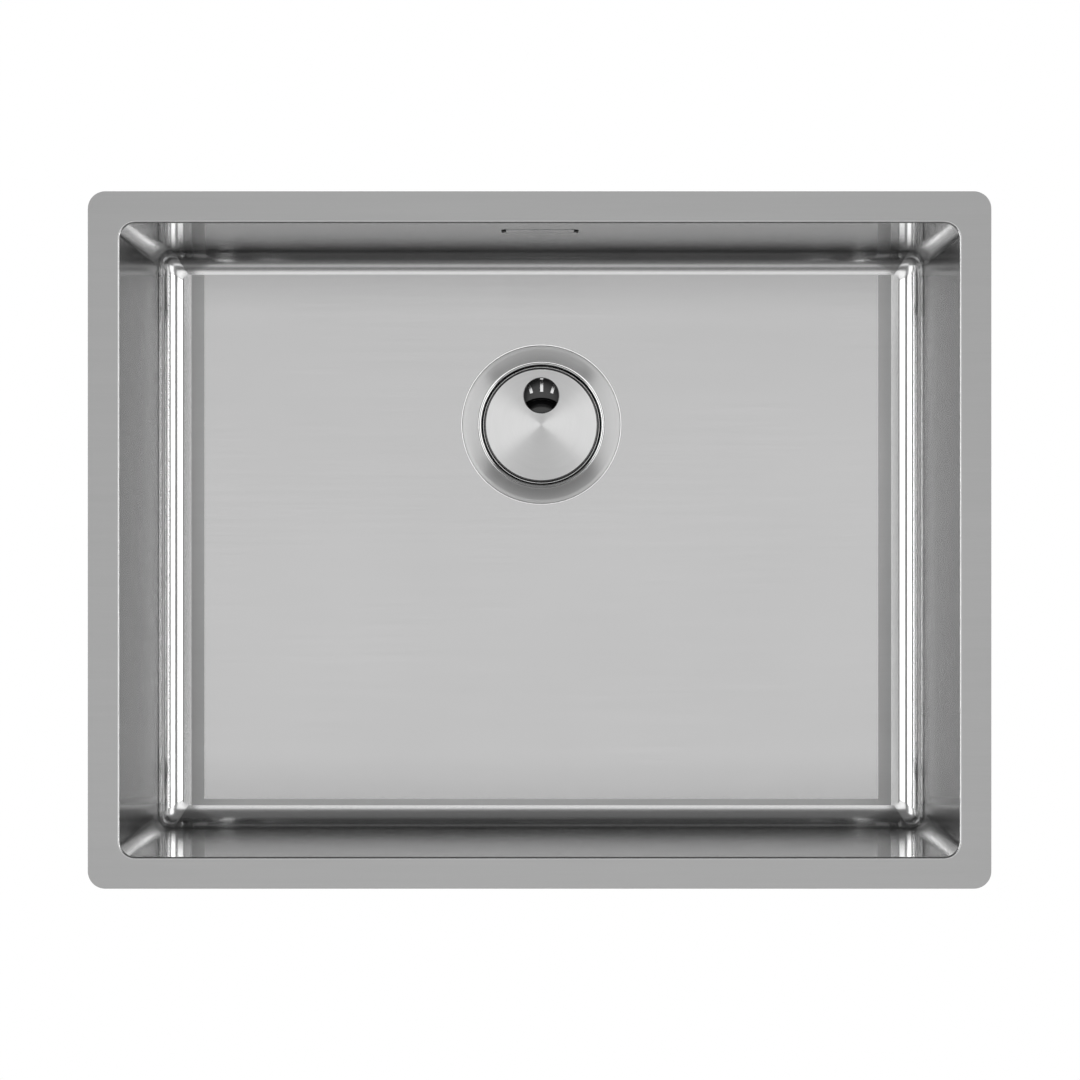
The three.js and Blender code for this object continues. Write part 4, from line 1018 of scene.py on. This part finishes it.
@dataclass
class Waste:
    """The basket strainer waste: its steel cup, lifting basket and cover, and the moulded body below.

    All heights are measured from the bowl's floor, and all radii from the waste's axis.
    """

    floor_z: float = -200 * MM  # the bowl's floor
    throat: float = 41 * MM  # the cup's inside at the cover plate
    lip: float = 44.4 * MM  # the lip's outer radius, where its rounding starts
    lip_z: float = -3.4 * MM  # the lip's top
    rim: float = 55 * MM  # the cup flange's radius
    dish: float = 53 * MM  # the radius where the flange starts to dish
    lip_foot: float = -6.8 * MM  # where the lip's rounding ends
    ledge: float = -11.5 * MM  # the ledge that carries the basket
    well: float = 38 * MM  # the cup's wall below the ledge
    cup_floor: float = -50 * MM  # the cup's floor
    cup_fold: float = 4 * MM  # the rounding round the cup's floor
    screw_hole: float = 3.5 * MM  # the clamp screw's hole in the cup's floor
    sheet: float = 1 * MM  # the cup's steel
    cover: float = 40 * MM  # the cover plate's radius
    cover_sheet: float = 1.5 * MM  # its thickness
    cover_edge: float = 1.4 * MM  # its edge's rounding
    cover_foot: float = -8.9 * MM  # its skirt's foot
    finger: float = 12 * MM  # the finger hole's radius
    finger_edge: float = 0.7 * MM  # its edge's rounding
    finger_back: float = 20.5 * MM  # its centre behind the axis
    finger_sides: int = 72  # its facets
    windows: int = 6  # the drain windows in the cup's floor
    window_inner: float = 8.5 * MM  # their inner radius
    window_outer: float = 16.5 * MM  # their outer radius
    web: float = 3 * MM  # the steel left between two windows
    slots: int = 22  # the basket's slots
    slot_width: float = 2.2 * MM  # their width
    slot_start: float = 25.1 * MM  # the radius where they start
    slot_climb: float = 10 * MM  # how far they climb the basket's wall
    dome: float = 20 * MM  # the basket's dome, at its foot
    dome_taper: float = 1.5 * MM  # how much narrower its top is
    dome_top: float = -22 * MM  # its top
    dome_round: float = 6 * MM  # its edge's rounding
    basket_rim: float = 40.4 * MM  # the basket's rim radius
    basket_top: float = -9.2 * MM  # the rim's top
    basket_wall: float = 35.8 * MM  # the basket's wall, inside
    basket_floor: float = -44 * MM  # the basket's floor, from above
    basket_sheet: float = 1.6 * MM  # the basket's thickness
    thread_top: float = -77 * MM  # where the outlet's thread starts
    thread_pitch: float = 2.3 * MM  # from one turn to the next
    thread_root: float = 22.9 * MM  # its smaller radius
    thread_crest: float = 23.9 * MM  # its larger radius
    thread_turns: int = 9  # how many turns it has
    gussets: int = 12  # the stiffening ribs under the clamping flange
    sides: int = 108  # facets round the axis, a multiple of the windows

    SLOT_FACETS = 6  # the basket's facets for one slot; the two middle ones are cut out

    def build(self) -> None:
        """Makes the waste's pieces, from the cup down to the outlet."""
        self._cup()
        self._cover()
        self._basket()
        self._seals()
        self._body()
        self._fasteners()

    @property
    def place(self) -> Matrix:
        """The point of the waste's axis at the bowl's floor."""
        return Matrix.Translation((0, WASTE_BACK, self.floor_z))

    def _cup(self) -> None:
        """Turns the strainer cup and opens the windows in its floor."""
        edge, fold = 0.3 * MM, self.cup_fold
        half_dish = (0.6 * self.dish + 0.4 * self.lip, 0.2 * self.lip_z)
        path = [(self.rim, -edge), (self.rim - 0.15 * edge, -0.5 * edge), (self.rim - edge, 0)]
        path += [(self.dish, 0)]
        path += curve((self.dish, 0), half_dish, (self.lip, self.lip_z), 12)
        path += curve((self.lip, self.lip_z), (self.throat, self.lip_z), (self.throat, self.lip_foot), 10)
        path += [(self.throat, self.ledge + edge), (self.throat - edge, self.ledge)]
        path += [(self.well + edge, self.ledge), (self.well, self.ledge - edge)]
        path += [(self.well, self.cup_floor + fold)]
        path += curve(path[-1], (self.well, self.cup_floor), (self.well - fold, self.cup_floor), 6)
        windows = (self.window_outer, self.window_inner)
        path += [(radius, self.cup_floor) for radius in (*windows, self.screw_hole)]
        bm = bmesh.new()
        turned(bm, path, self.sides)
        self._open_windows(bm)
        skinned(bm)
        facing_up(bm)
        # The throat between the lip and the ledge takes painted shade.
        for face in bm.faces:
            height = face.calc_center_median().z
            if self.lip_z - 1 * MM > height > self.ledge:
                face.material_index = CupSkin.THROAT
            elif from_axis(face) > self.lip:
                face.material_index = CupSkin.FLANGE
            else:
                face.material_index = CupSkin.LIP if height > self.ledge else CupSkin.INSIDE
        finishes = [CUP_FINISHES[skin] for skin in CupSkin]
        Piece("strainer_cup", ("waste_cup",), "bright_steel").finish(bm, finishes, self.place, self.sheet)

    def _open_windows(self, bm: Mesh) -> None:
        """Takes out the faces of the cup's drain windows, and leaves the webs between them.

        Args:
            bm: The cup's mesh.
        """
        share, half_web = FULL_TURN / self.windows, self.web / self.window_inner / 2
        opened = []
        for face in bm.faces:
            off = abs(around(face.calc_center_median()) % share - share / 2)
            if self.window_inner < from_axis(face) < self.window_outer and off > half_web:
                opened.append(face)
        bmesh.ops.delete(bm, geom=opened, context="FACES")

    def _cover(self) -> None:
        """Builds the cover plate from rings: top, rounded edge, skirt, underside and finger hole."""
        top, under, inner = self.lip_z, self.lip_z - self.cover_sheet, self.cover - self.cover_sheet
        hole, edge_steps, bevel_steps = (0, self.finger_back, 0), 6, 2
        bm = bmesh.new()
        outside, mouth = [], []
        for step in range(edge_steps + 1):
            inward, down = (self.cover_edge * part for part in quarter(step, edge_steps))
            outside.append(ring(bm, self.cover - inward, top - down, self.sides))
        for step in range(bevel_steps + 1):
            outward, down = (self.finger_edge * part for part in quarter(step, bevel_steps))
            mouth.append(ring(bm, self.finger + outward, top - down, self.finger_sides, hole))
        outside.append(ring(bm, self.cover, self.cover_foot, self.sides))
        mouth.append(ring(bm, self.finger, under, self.finger_sides, hole))
        inside = [ring(bm, inner, height, self.sides) for height in (self.cover_foot, under)]
        flat = set(fill(bm, [*outside[0], *mouth[0]], (0, 0, 1)))
        fill(bm, [*outside[-1], *inside[0]], (0, 0, -1))
        fill(bm, [*inside[-1], *mouth[-1]], (0, 0, -1))
        for rings in (outside, inside, mouth):
            banded(bm, rings)
        skinned(bm)
        # All but the flat top takes painted shade: the edge's rounding, the skirt, the underside and the
        # finger hole's sides.
        for face in bm.faces:
            face.material_index = int(face not in flat)
        steel = BrushedSteel("cover_turned", Grain.ROUND_Z, 0.54, 0.3, 1.0, 0.03, (0, WASTE_BACK, 0))
        cover = Piece("cover_disc", ("cover_plate",), "bright_steel", Body.COVER)
        cover.finish(bm, [steel, PAINTED_SHADE_STEEL], self.place)

    def _basket(self) -> None:
        """Turns the basket with its dome, cuts its slots and adds the skirt that holds the stopper seal."""
        steps, foot = self.slots * self.SLOT_FACETS, self.basket_floor + self.slot_climb
        bm = bmesh.new()
        turned(bm, self._basket_profile(), steps)
        cut = []
        for face in bm.faces:
            middle = face.calc_center_median()
            column = int(around(middle) / FULL_TURN * steps) % self.SLOT_FACETS
            if from_axis(face) > self.slot_start and middle.z < foot and column in (2, 3):
                cut.append(face)
        bmesh.ops.delete(bm, geom=cut, context="FACES")
        for vert in bm.verts:
            self._straighten(vert, steps, foot)
        skinned(bm)
        facing_up(bm)
        basket = Piece("lifting_basket", ("filter_basket",), "black_plastic", Body.BASKET)
        basket.finish(bm, [BLACK_PLASTIC], self.place, self.basket_sheet)
        skirt = tube(18.4 * MM, 20 * MM, -48 * MM, self.basket_floor - self.basket_sheet)
        holder = Piece("basket_skirt", ("filter_basket",), "black_plastic", Body.BASKET)
        holder.turn(skirt, BLACK_PLASTIC, 0.3 * MM, self.place, 72)

    def _basket_profile(self) -> Profile:
        """Gives the basket's inside, from its rim down its wall, along its floor and up over its dome.

        Returns:
            Its points.
        """
        wall, floor, rim, top = self.basket_wall, self.basket_floor, self.basket_rim, self.basket_top
        dome_edge = (self.dome - self.dome_taper, self.dome_top)
        path = [(rim, top - 0.6 * MM), (rim - 0.2 * MM, top - 0.15 * MM), (rim - 0.6 * MM, top)]
        path += [(wall + 1.2 * MM, top)]
        path += curve(path[-1], (wall, top), (wall, top - 1.2 * MM), 4)
        path += [(wall, floor + self.slot_climb), (wall, floor + 1.5 * MM)]
        path += curve(path[-1], (wall, floor), (wall - 1.5 * MM, floor), 4)
        path += [(self.slot_start, floor), (self.dome + 1 * MM, floor)]
        path += curve(path[-1], (self.dome, floor), (self.dome - 0.1 * MM, floor + 1 * MM), 3)
        path += [(dome_edge[0] + 0.3 * MM, self.dome_top - self.dome_round)]
        path += curve(path[-1], dome_edge, (dome_edge[0] - self.dome_round, self.dome_top), 8)
        return [*path, (0, self.dome_top + 0.2 * MM)]

    def _straighten(self, vert: Vert, steps: int, foot: float) -> None:
        """Moves a vertex on a slot's edge so that the slot keeps its width from end to end.

        Args:
            vert: The vertex.
            steps: The basket's facets.
            foot: The slots' upper end.
        """
        radius = math.hypot(vert.co.x, vert.co.y)
        column = round(around(vert.co) / FULL_TURN * steps)
        side = {2: -1, 4: 1}.get(column % self.SLOT_FACETS)
        if side is None or radius < self.slot_start - MERGE or vert.co.z > foot + MERGE:
            return
        turn = (column - side) / steps * FULL_TURN + side * math.asin(self.slot_width / 2 / radius)
        vert.co.x, vert.co.y = radius * math.cos(turn), radius * math.sin(turn)

    def _seals(self) -> None:
        """Turns the stopper seal on the basket and the two seals at the bowl's floor."""
        inner, outer, foot, top, lip = 20.3 * MM, 24.3 * MM, self.cup_floor + SEAT_GAP, -46.3 * MM, 1.4 * MM
        stopper = [(inner, foot + lip), (outer - lip, foot + lip), (outer - lip / 2, foot), (outer, foot)]
        stopper += [(outer, top), (inner, top)]
        under = tube(43.5 * MM, 55.4 * MM, -11.3 * MM, -8.3 * MM)
        seat = mm((45.6, -6.7), (49.5, -6.7), (49.5, -3.7), (47.6, -4.35), (45.6, -4.7))
        for name, node, profile, body in (
            ("stopper_ring", "stopper_seal", stopper, Body.BASKET),
            ("under_ring", "under_seal", under, Body.SINK),
            ("seat_ring", "flange_seal", seat, Body.SINK),
        ):
            Piece(name, (node,), "seal_rubber", body).turn(profile, SEAL_RUBBER, 0.25 * MM, self.place, 72)

    def _fasteners(self) -> None:
        """Finishes the clamp screw and its insert, whose CAD shapes stay, and turns the screw's washer."""
        refinished("clamp_screw", LIP_STEEL)
        refinished("screw_insert", BRASS)
        washer = Piece("washer_ring", ("screw_washer",), "seal_rubber")
        washer.turn(tube(3.3 * MM, 7.4 * MM, -49.7 * MM, -48.5 * MM), SEAL_RUBBER, 0.2 * MM, self.place, 48)

    def _body(self) -> None:
        """Models the moulded body: its wall and outlet, gussets, overflow inlet and the spider inside."""
        bm = bmesh.new()
        turned(bm, self._body_profile(), self.sides, closed=True)
        self._add_gussets(bm)
        inlet = bmesh.new()
        turned(inlet, tube(7.6 * MM, 10 * MM, 47.5 * MM, 73 * MM), 48, closed=True)
        added(bm, inlet, placed((0, 0, -35 * MM), -QUARTER_TURN))
        self._add_spider(bm)
        skinned(bm, 0.5)
        body = Piece("moulded_body", ("waste_body",), "white_plastic")
        body.finish(bm, [WHITE_PLASTIC], self.place, soften=0.25 * MM, crease=0.7)

    def _body_profile(self) -> Profile:
        """Gives the body's wall: clamping flange, funnel and threaded outlet, then back up its inside.

        Returns:
            Its points.
        """
        profile = mm((56, -11.6), (56, -15.6), (49, -15.6), (49, -54))
        profile += curve(profile[-1], *mm((49, -72.5), (23.9, -72.5)), 12)
        profile += [(self.thread_crest, self.thread_top)]
        for turn in range(self.thread_turns):
            start = self.thread_top - turn * self.thread_pitch
            profile += [(self.thread_root, start - part * self.thread_pitch) for part in (0.35, 0.5)]
            profile += [(self.thread_crest, start - part * self.thread_pitch) for part in (0.85, 1)]
        profile += mm((23.9, -99.4), (23.3, -100), (20, -100), (20, -70))
        profile += curve(profile[-1], *mm((46.5, -70), (46.5, -54)), 12)
        return [*profile, *mm((46.5, -18.6), (43.5, -15.6), (43.5, -11.6))]

    def _add_gussets(self, bm: Mesh) -> None:
        """Adds the stiffening ribs under the clamping flange.

        Args:
            bm: The body's mesh.
        """
        thick, centre = 2 * MM, (0, 0, 0)
        outline = mm((47.8, -15), (55.2, -15), (55.2, -16), (49.2, -29.4), (47.8, -29.4))
        face = bm.faces.new([bm.verts.new((radius, -thick / 2, z)) for radius, z in outline])
        rib = [*face.verts, *thickened(bm, [face], (0, thick, 0))]
        bmesh.ops.rotate(bm, verts=rib, cent=centre, matrix=Matrix.Rotation(math.pi / self.gussets, 3, "Z"))
        sides = [part for vert in rib for part in (*vert.link_edges, *vert.link_faces)]
        others = self.gussets - 1
        bmesh.ops.spin(
            bm, geom=list(dict.fromkeys([*rib, *sides])), cent=centre, axis=(0, 0, 1),
            angle=FULL_TURN * others / self.gussets, steps=others, use_merge=False, use_duplicate=True,
        )

    def _add_spider(self, bm: Mesh) -> None:
        """Adds the boss that holds the clamp screw, and the three arms that carry it.

        Args:
            bm: The body's mesh.
        """
        boss, arms = bmesh.new(), 3
        outline = mm((8.7, -60), (8.7, -73), (6.2, -73), (6.2, -63), (3.5, -63), (3.5, -60))
        turned(boss, outline, 48, closed=True)
        added(bm, boss)
        for arm in range(arms):
            turn = Matrix.Rotation(QUARTER_TURN + arm * FULL_TURN / arms, 4, "Z")
            add_bar(bm, turn @ Matrix.Translation((25 * MM, 0, -64.5 * MM)), (34 * MM, 3 * MM, 9 * MM))


# ---------------------------------------------------------------- the overflow


@dataclass
class Overflow:
    """The overflow in the back wall: plate, seal, moulded head and the hose down to the waste.

    Depths are measured backwards from the back wall's inside.
    """

    wall_y: float = 200 * MM  # the back wall's inside
    drop: float = 51 * MM  # the cut-out's centre below the flange
    plate: Point = (44 * MM, 20 * MM, 3.5 * MM)  # the plate: width, height and corner
    plate_sheet: float = 1.2 * MM  # its thickness
    post_span: float = 28 * MM  # between its two posts
    slot: Point = (50 * MM, 26 * MM, 5 * MM)  # the cut-out and the head's inside
    flange: Point = (96 * MM, 44 * MM, 8 * MM)  # the head's flange
    chamber: Point = (55 * MM, 31 * MM, 7.5 * MM)  # its chamber's outside
    lid: Point = (53 * MM, 29 * MM, 6.5 * MM)  # its rounded back
    head_front: float = 3.6 * MM  # the flange's depth
    head_back: float = 23.5 * MM  # the chamber's depth
    head_wall: float = 2.5 * MM  # the chamber's thickness
    stud_span: float = 78 * MM  # between the two studs
    stud_end: float = 15 * MM  # their length
    pipe: float = 10 * MM  # the spout's and the inlet's radius
    bore: float = 7.6 * MM  # their bore
    spout_y: float = 215.5 * MM  # the spout's axis
    spout_end: float = -92 * MM  # the spout's end
    inlet_y: float = 153.5 * MM  # the waste inlet's end
    inlet_z: float = -235 * MM  # the inlet's axis
    bend: float = 40 * MM  # the hose's bend radius
    hose_seat: float = 2.6 * MM  # from a pipe's end to the hose's
    hose_cuff: float = 20 * MM  # the hose's plain ends
    hose_root: float = 7.8 * MM  # its radius between two ribs
    hose_crest: float = 9.8 * MM  # its radius at a rib
    hose_pitch: float = 3.8 * MM  # from rib to rib, before it is fitted to the length

    STEP = 0.5 * MM  # the hose's length between two rings

    def build(self) -> None:
        """Makes the overflow's pieces, from the plate to the hose."""
        self._plate()
        self._gasket()
        self._head()
        self._studs()
        for node in ("overflow_nut_left", "overflow_nut_right"):
            refinished(node, NUT_STEEL)
        self._joint("upper", placed((0, self.spout_y, self.spout_end), math.pi))
        self._joint("lower", placed((0, self.inlet_y, self.inlet_z), -QUARTER_TURN))
        self._hose()

    def _stand(self, depth: float) -> Matrix:
        """Gives the place of an upright outline round the cut-out's middle, at a depth."""
        return placed((0, self.wall_y + depth, -self.drop), QUARTER_TURN)

    def _add_rods(self, bm: Mesh, profile: Profile, span: float, sides: int = 32) -> None:
        """Adds a pair of rods or tubes that point backwards.

        Args:
            bm: The mesh that gets them.
            profile: Their radii and depths. It is closed unless it starts on the axis.
            span: How far apart they stand.
            sides: Their facets.
        """
        for x in (-span / 2, span / 2):
            rod = bmesh.new()
            turned(rod, profile, sides, closed=profile[0][0] > 0)
            added(bm, rod, placed((x, self.wall_y, -self.drop), -QUARTER_TURN))

    def _plate(self) -> None:
        """Models the small plate in the cut-out, with its two posts."""
        bm = bmesh.new()
        thickened(bm, [rounded_face(bm, self.plate, self._stand(0))], (0, self.plate_sheet, 0))
        self._add_rods(bm, tube(0, 3 * MM, self.plate_sheet - 0.1 * MM, 16 * MM), self.post_span)
        skinned(bm)
        Piece("overflow_cover", ("overflow_plate",), "bowl_steel").finish(bm, [PLATE_STEEL], soften=0.5 * MM)

    def _gasket(self) -> None:
        """Models the flat seal between the wall and the head."""
        bm = bmesh.new()
        near, thick, inset, stud_hole = 1.3 * MM, 2 * MM, 0.6 * MM, 3 * MM
        width, height, corner = self.flange
        edges = rounded_ring(bm, (width - 2 * inset, height - 2 * inset, corner), self._stand(near))
        width, height, corner = self.slot
        edges += rounded_ring(bm, (width + 2 * inset, height + 2 * inset, corner), self._stand(near))
        for x in (-self.stud_span / 2, self.stud_span / 2):
            edges += circle(bm, stud_hole, 24, self._stand(near) @ Matrix.Translation((x, 0, 0)))
        thickened(bm, fill(bm, edges, (0, -1, 0)), (0, thick, 0))
        skinned(bm)
        Piece("overflow_gasket", ("overflow_seal",), "seal_rubber").finish(bm, [SEAL_RUBBER])

    def _head(self) -> None:
        """Models the moulded head: flange, chamber with its open front, post sockets and spout."""
        near, far, wall = self.head_front, self.head_back, self.head_wall
        back = near + 3 * MM
        bm = bmesh.new()
        sizes = (self.flange, self.flange, self.slot, self.chamber, self.chamber, self.lid, self.slot)
        depths = (near, back, near, back, far - 2 * MM, far, far - wall)
        front, rear, mouth, foot, shoulder, lid, inside = (
            rounded_ring(bm, size, self._stand(depth)) for size, depth in zip(sizes, depths)
        )
        for edges, facing in (([*front, *mouth], -1), ([*rear, *foot], 1), (lid, 1), (inside, -1)):
            fill(bm, edges, (0, facing, 0))
        for rings in ((front, rear), (foot, shoulder, lid), (mouth, inside)):
            banded(bm, rings)
        self._add_rods(bm, tube(3.3 * MM, 5.2 * MM, 9.6 * MM, far - wall), self.post_span)
        self._add_rods(bm, tube(0.6 * MM, 1.2 * MM, far - 0.2 * MM, far), self.post_span)
        spout = bmesh.new()
        turned(spout, tube(self.bore, self.pipe, -self.drop - 14 * MM, self.spout_end), 48, closed=True)
        added(bm, spout, Matrix.Translation((0, self.spout_y, 0)))
        skinned(bm, 0.5)
        head = Piece("overflow_chamber", ("overflow_head",), "white_plastic")
        head.finish(bm, [WHITE_PLASTIC], soften=0.3 * MM, crease=0.7)

    def _studs(self) -> None:
        """Models the two threaded studs welded to the shell's back."""
        pitch, crest, root, start, thread = 0.8 * MM, 2.5 * MM, 2.05 * MM, 0.9 * MM, 1.8 * MM
        profile = [(0, start), (3.4 * MM, start), (3.1 * MM, start + 0.6 * MM), (crest, thread)]
        for turn in range(int((self.stud_end - thread - 0.6 * MM) / pitch)):
            low = thread + turn * pitch
            profile += [(root, low + 0.5 * pitch), (crest, low + pitch)]
        profile += [(root, self.stud_end), (0, self.stud_end)]
        bm = bmesh.new()
        self._add_rods(bm, profile, self.stud_span, 24)
        skinned(bm)
        Piece("weld_studs", (), "bowl_steel").finish(bm, [NUT_STEEL])

    def _joint(self, name: str, place: Matrix) -> None:
        """Models one pipe joint: the union nut with its grips, and the flat seal on the pipe's end.

        Args:
            name: Upper or lower.
            place: Its place, with +Z out of the pipe.
        """
        outer, lip, foot, grips, grip = 12.5 * MM, 4.9 * MM, -13 * MM, 10, 1.4 * MM
        profile = mm((10.4, -13), (12.5, -13), (12.5, 4.9), (10.7, 6.7), (8.8, 6.7), (8.8, 4.9), (10.4, 4.9))
        nut = bmesh.new()
        turned(nut, profile, 60, closed=True)
        for index in range(grips):
            turn = Matrix.Rotation(index * FULL_TURN / grips, 4, "Z")
            middle = Matrix.Translation((outer, 0, (foot + lip) / 2))
            add_bar(nut, turn @ middle, (grip, grip, lip - foot - 0.4 * MM))
        skinned(nut)
        union = Piece(f"union_nut_{name}", (f"hose_nut_{name}",), "grey_plastic")
        union.finish(nut, [NUT_PLASTIC], place, soften=0.3 * MM)
        seal = Piece(f"joint_seal_{name}", (f"hose_seal_{name}",), "seal_rubber")
        seal.turn(tube(7.2 * MM, 10 * MM, SEAT_GAP, 2.3 * MM), SEAL_RUBBER, 0.2 * MM, place, 48)

    def _route(self) -> list[Vector]:
        """Sets out the hose's middle line: down behind the bowl, round the bend and forward.

        Returns:
            Its points, a step apart.
        """
        start = Vector((0, self.spout_y, self.spout_end - self.hose_seat))
        end = Vector((0, self.inlet_y + self.hose_seat, self.inlet_z))
        bend_y, bend_z = start.y - self.bend, end.z + self.bend
        straight, arc, last = start.z - bend_z, self.bend * QUARTER_TURN, bend_y - end.y
        length, route = straight + arc + last, []
        for index in range(round(length / self.STEP) + 1):
            run = min(index * self.STEP, length)
            if run < straight:
                route.append(start + Vector((0, 0, -run)))
            elif run < straight + arc:
                turn = (run - straight) / self.bend
                across, down = self.bend * math.cos(turn), self.bend * math.sin(turn)
                route.append(Vector((0, bend_y + across, bend_z - down)))
            else:
                route.append(Vector((0, bend_y - (run - straight - arc), end.z)))
        return route

    def _hose_radius(self, run: float, length: float) -> float:
        """Gives the hose's outer radius.

        Args:
            run: How far along the hose.
            length: The hose's length.

        Returns:
            The radius there.
        """
        ribbed = length - 2 * self.hose_cuff
        into = min(run, length - run)
        if into < 2 * MM:
            return self.pipe
        if into < self.hose_cuff:
            return 8.4 * MM
        pitch = ribbed / round(ribbed / self.hose_pitch)
        wave = (run - self.hose_cuff) % pitch / pitch
        rise = min(1.0, 1.35 * math.sin(math.pi * wave) ** 2)
        return self.hose_root + (self.hose_crest - self.hose_root) * rise

    def _hose(self) -> None:
        """Models the ribbed hose by carrying a ring along its route, wider at each rib."""
        route, sides, rings = self._route(), 40, []
        length = self.STEP * (len(route) - 1)
        bm = bmesh.new()
        for index, point in enumerate(route):
            ahead = route[min(index + 1, len(route) - 1)] - route[max(index - 1, 0)]
            turn = ahead.to_track_quat("Z", "X").to_matrix().to_4x4()
            radius = self._hose_radius(index * self.STEP, length)
            rings.append(circle(bm, radius, sides, Matrix.Translation(point) @ turn))
        banded(bm, rings)
        skinned(bm, 1.2)
        Piece("ribbed_hose", ("overflow_hose",), "white_plastic").finish(bm, [HOSE_PLASTIC], wall=1.1 * MM)


# ---------------------------------------------------------------- studio and camera


@dataclass(frozen=True)
class Softbox:
    """A far rectangular studio light that the camera doesn't see, set out by the angles it is seen at."""

    name: str
    lean: tuple[float, float]  # how far its middle leans from straight above, towards +X and +Y, in degrees
    spread: tuple[float, float]  # the angles that it covers left to right and front to back, in degrees
    glow: float  # its radiance, where 1 is the white of the floor
    reach: float = 18.0  # how far away it stands

    def build(self) -> None:
        """Adds the light to the scene."""
        lamp = bpy.data.lights.new(self.name, "AREA")
        lamp.shape = "RECTANGLE"
        lamp.size, lamp.size_y = (2 * self.reach * math.tan(math.radians(angle / 2)) for angle in self.spread)
        lamp.energy = self.glow * math.pi * lamp.size * lamp.size_y
        box = linked(self.name, lamp)
        sideways, backwards = (math.radians(angle) for angle in self.lean)
        turn = Matrix.Rotation(sideways, 4, "Y") @ Matrix.Rotation(-backwards, 4, "X")
        box.matrix_world = turn @ Matrix.Translation((0, 0, self.reach))
        box.visible_camera = False
        log.info("light %s of %.0f W", self.name, lamp.energy)


SOFTBOXES = (
    Softbox("overhead_panel", (0, -1), (41, 28), 1.5),
    Softbox("front_strip", (0, -43), (60, 12), 1.0),
    Softbox("left_box", (-46, 0), (22, 60), 1.9),
    Softbox("left_low_strip", (-76, 0), (14, 50), 6.0),
    Softbox("right_box", (46, 0), (22, 60), 1.9),
    Softbox("right_low_strip", (76, 0), (14, 50), 6.0),
)


@dataclass
class Studio:
    """The camera, the lights and the pale floor."""

    camera_height: float = 1.8925  # the camera above the flange
    camera_right: float = 11.3 * MM  # its place to the right of the bowl's middle
    lens: float = 100.0  # the lens in millimetres, on a sensor 36 mm wide
    lens_shift: float = -0.0162  # how far the picture is shifted, as a part of its width
    room: float = 0.24  # the radiance of the room round the lights
    floor_z: float = -300 * MM  # the height that the sink's outlet stands on
    floor_size: float = 40.0  # the floor's width
    boxes: tuple[Softbox, ...] = SOFTBOXES

    def build(self) -> None:
        """Adds the camera, the lights, the world and the floor."""
        self._camera()
        for box in self.boxes:
            box.build()
        self._world()
        self._floor()

    def _camera(self) -> None:
        """Adds the camera, looking straight down with the bowl's back at the top of the picture."""
        lens = bpy.data.cameras.new("overhead_camera")
        lens.lens = self.lens
        lens.sensor_width = 36
        lens.sensor_fit = "AUTO"
        lens.clip_start = 0.05
        lens.clip_end = 50
        lens.shift_x = self.lens_shift
        camera = linked("overhead_camera", lens)
        camera.location = (self.camera_right, 0, self.camera_height)
        bpy.context.scene.camera = camera

    def _world(self) -> None:
        """Sets a dim even world and a plain view transform."""
        world = bpy.data.worlds.new("dim_room")
        world.use_nodes = True
        sky = world.node_tree.nodes["Background"]
        sky.inputs["Color"].default_value = (1, 1, 1, 1)
        sky.inputs["Strength"].default_value = self.room
        bpy.context.scene.world = world
        bpy.context.scene.view_settings.view_transform = "Standard"

    def _floor(self) -> None:
        """Adds the pale floor, which is bright from above and can be looked through from below."""
        bm = bmesh.new()
        place = Matrix.Translation((0, 0, self.floor_z))
        bmesh.ops.create_grid(bm, x_segments=1, y_segments=1, size=self.floor_size / 2, matrix=place)
        floor = linked("studio_floor", meshed(bm, "studio_floor"))
        floor.data.materials.append(self._floor_finish())

    def _floor_finish(self) -> bpy.types.Material:
        """Builds the floor's white, which shines by itself and is clear from behind.

        Returns:
            The material.
        """
        graph = Graph("studio_white")
        graph.dress({
            "Base Color": (0, 0, 0, 1),
            "Specular IOR Level": 0,
            "Emission Color": (1, 1, 1, 1),
            "Emission Strength": 1.0,
        })
        behind = graph.add("ShaderNodeNewGeometry").outputs["Backfacing"]
        clear = graph.add("ShaderNodeBsdfTransparent").outputs["BSDF"]
        sides = graph.fed(graph.add("ShaderNodeMixShader"), (behind, graph.shader.outputs["BSDF"], clear))
        graph.link(sides, graph.output.inputs["Surface"])
        return graph.material


# ---------------------------------------------------------------- the whole scene


def main() -> None:
    """Builds the sink over its CAD frame, and the studio round it."""
    logging.basicConfig(level=logging.INFO, format="%(name)s: %(message)s")
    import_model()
    for part in (Studio(), Bowl(), SoundPads(), Waste(), Overflow()):
        part.build()


if __name__ == "__main__":
    main()
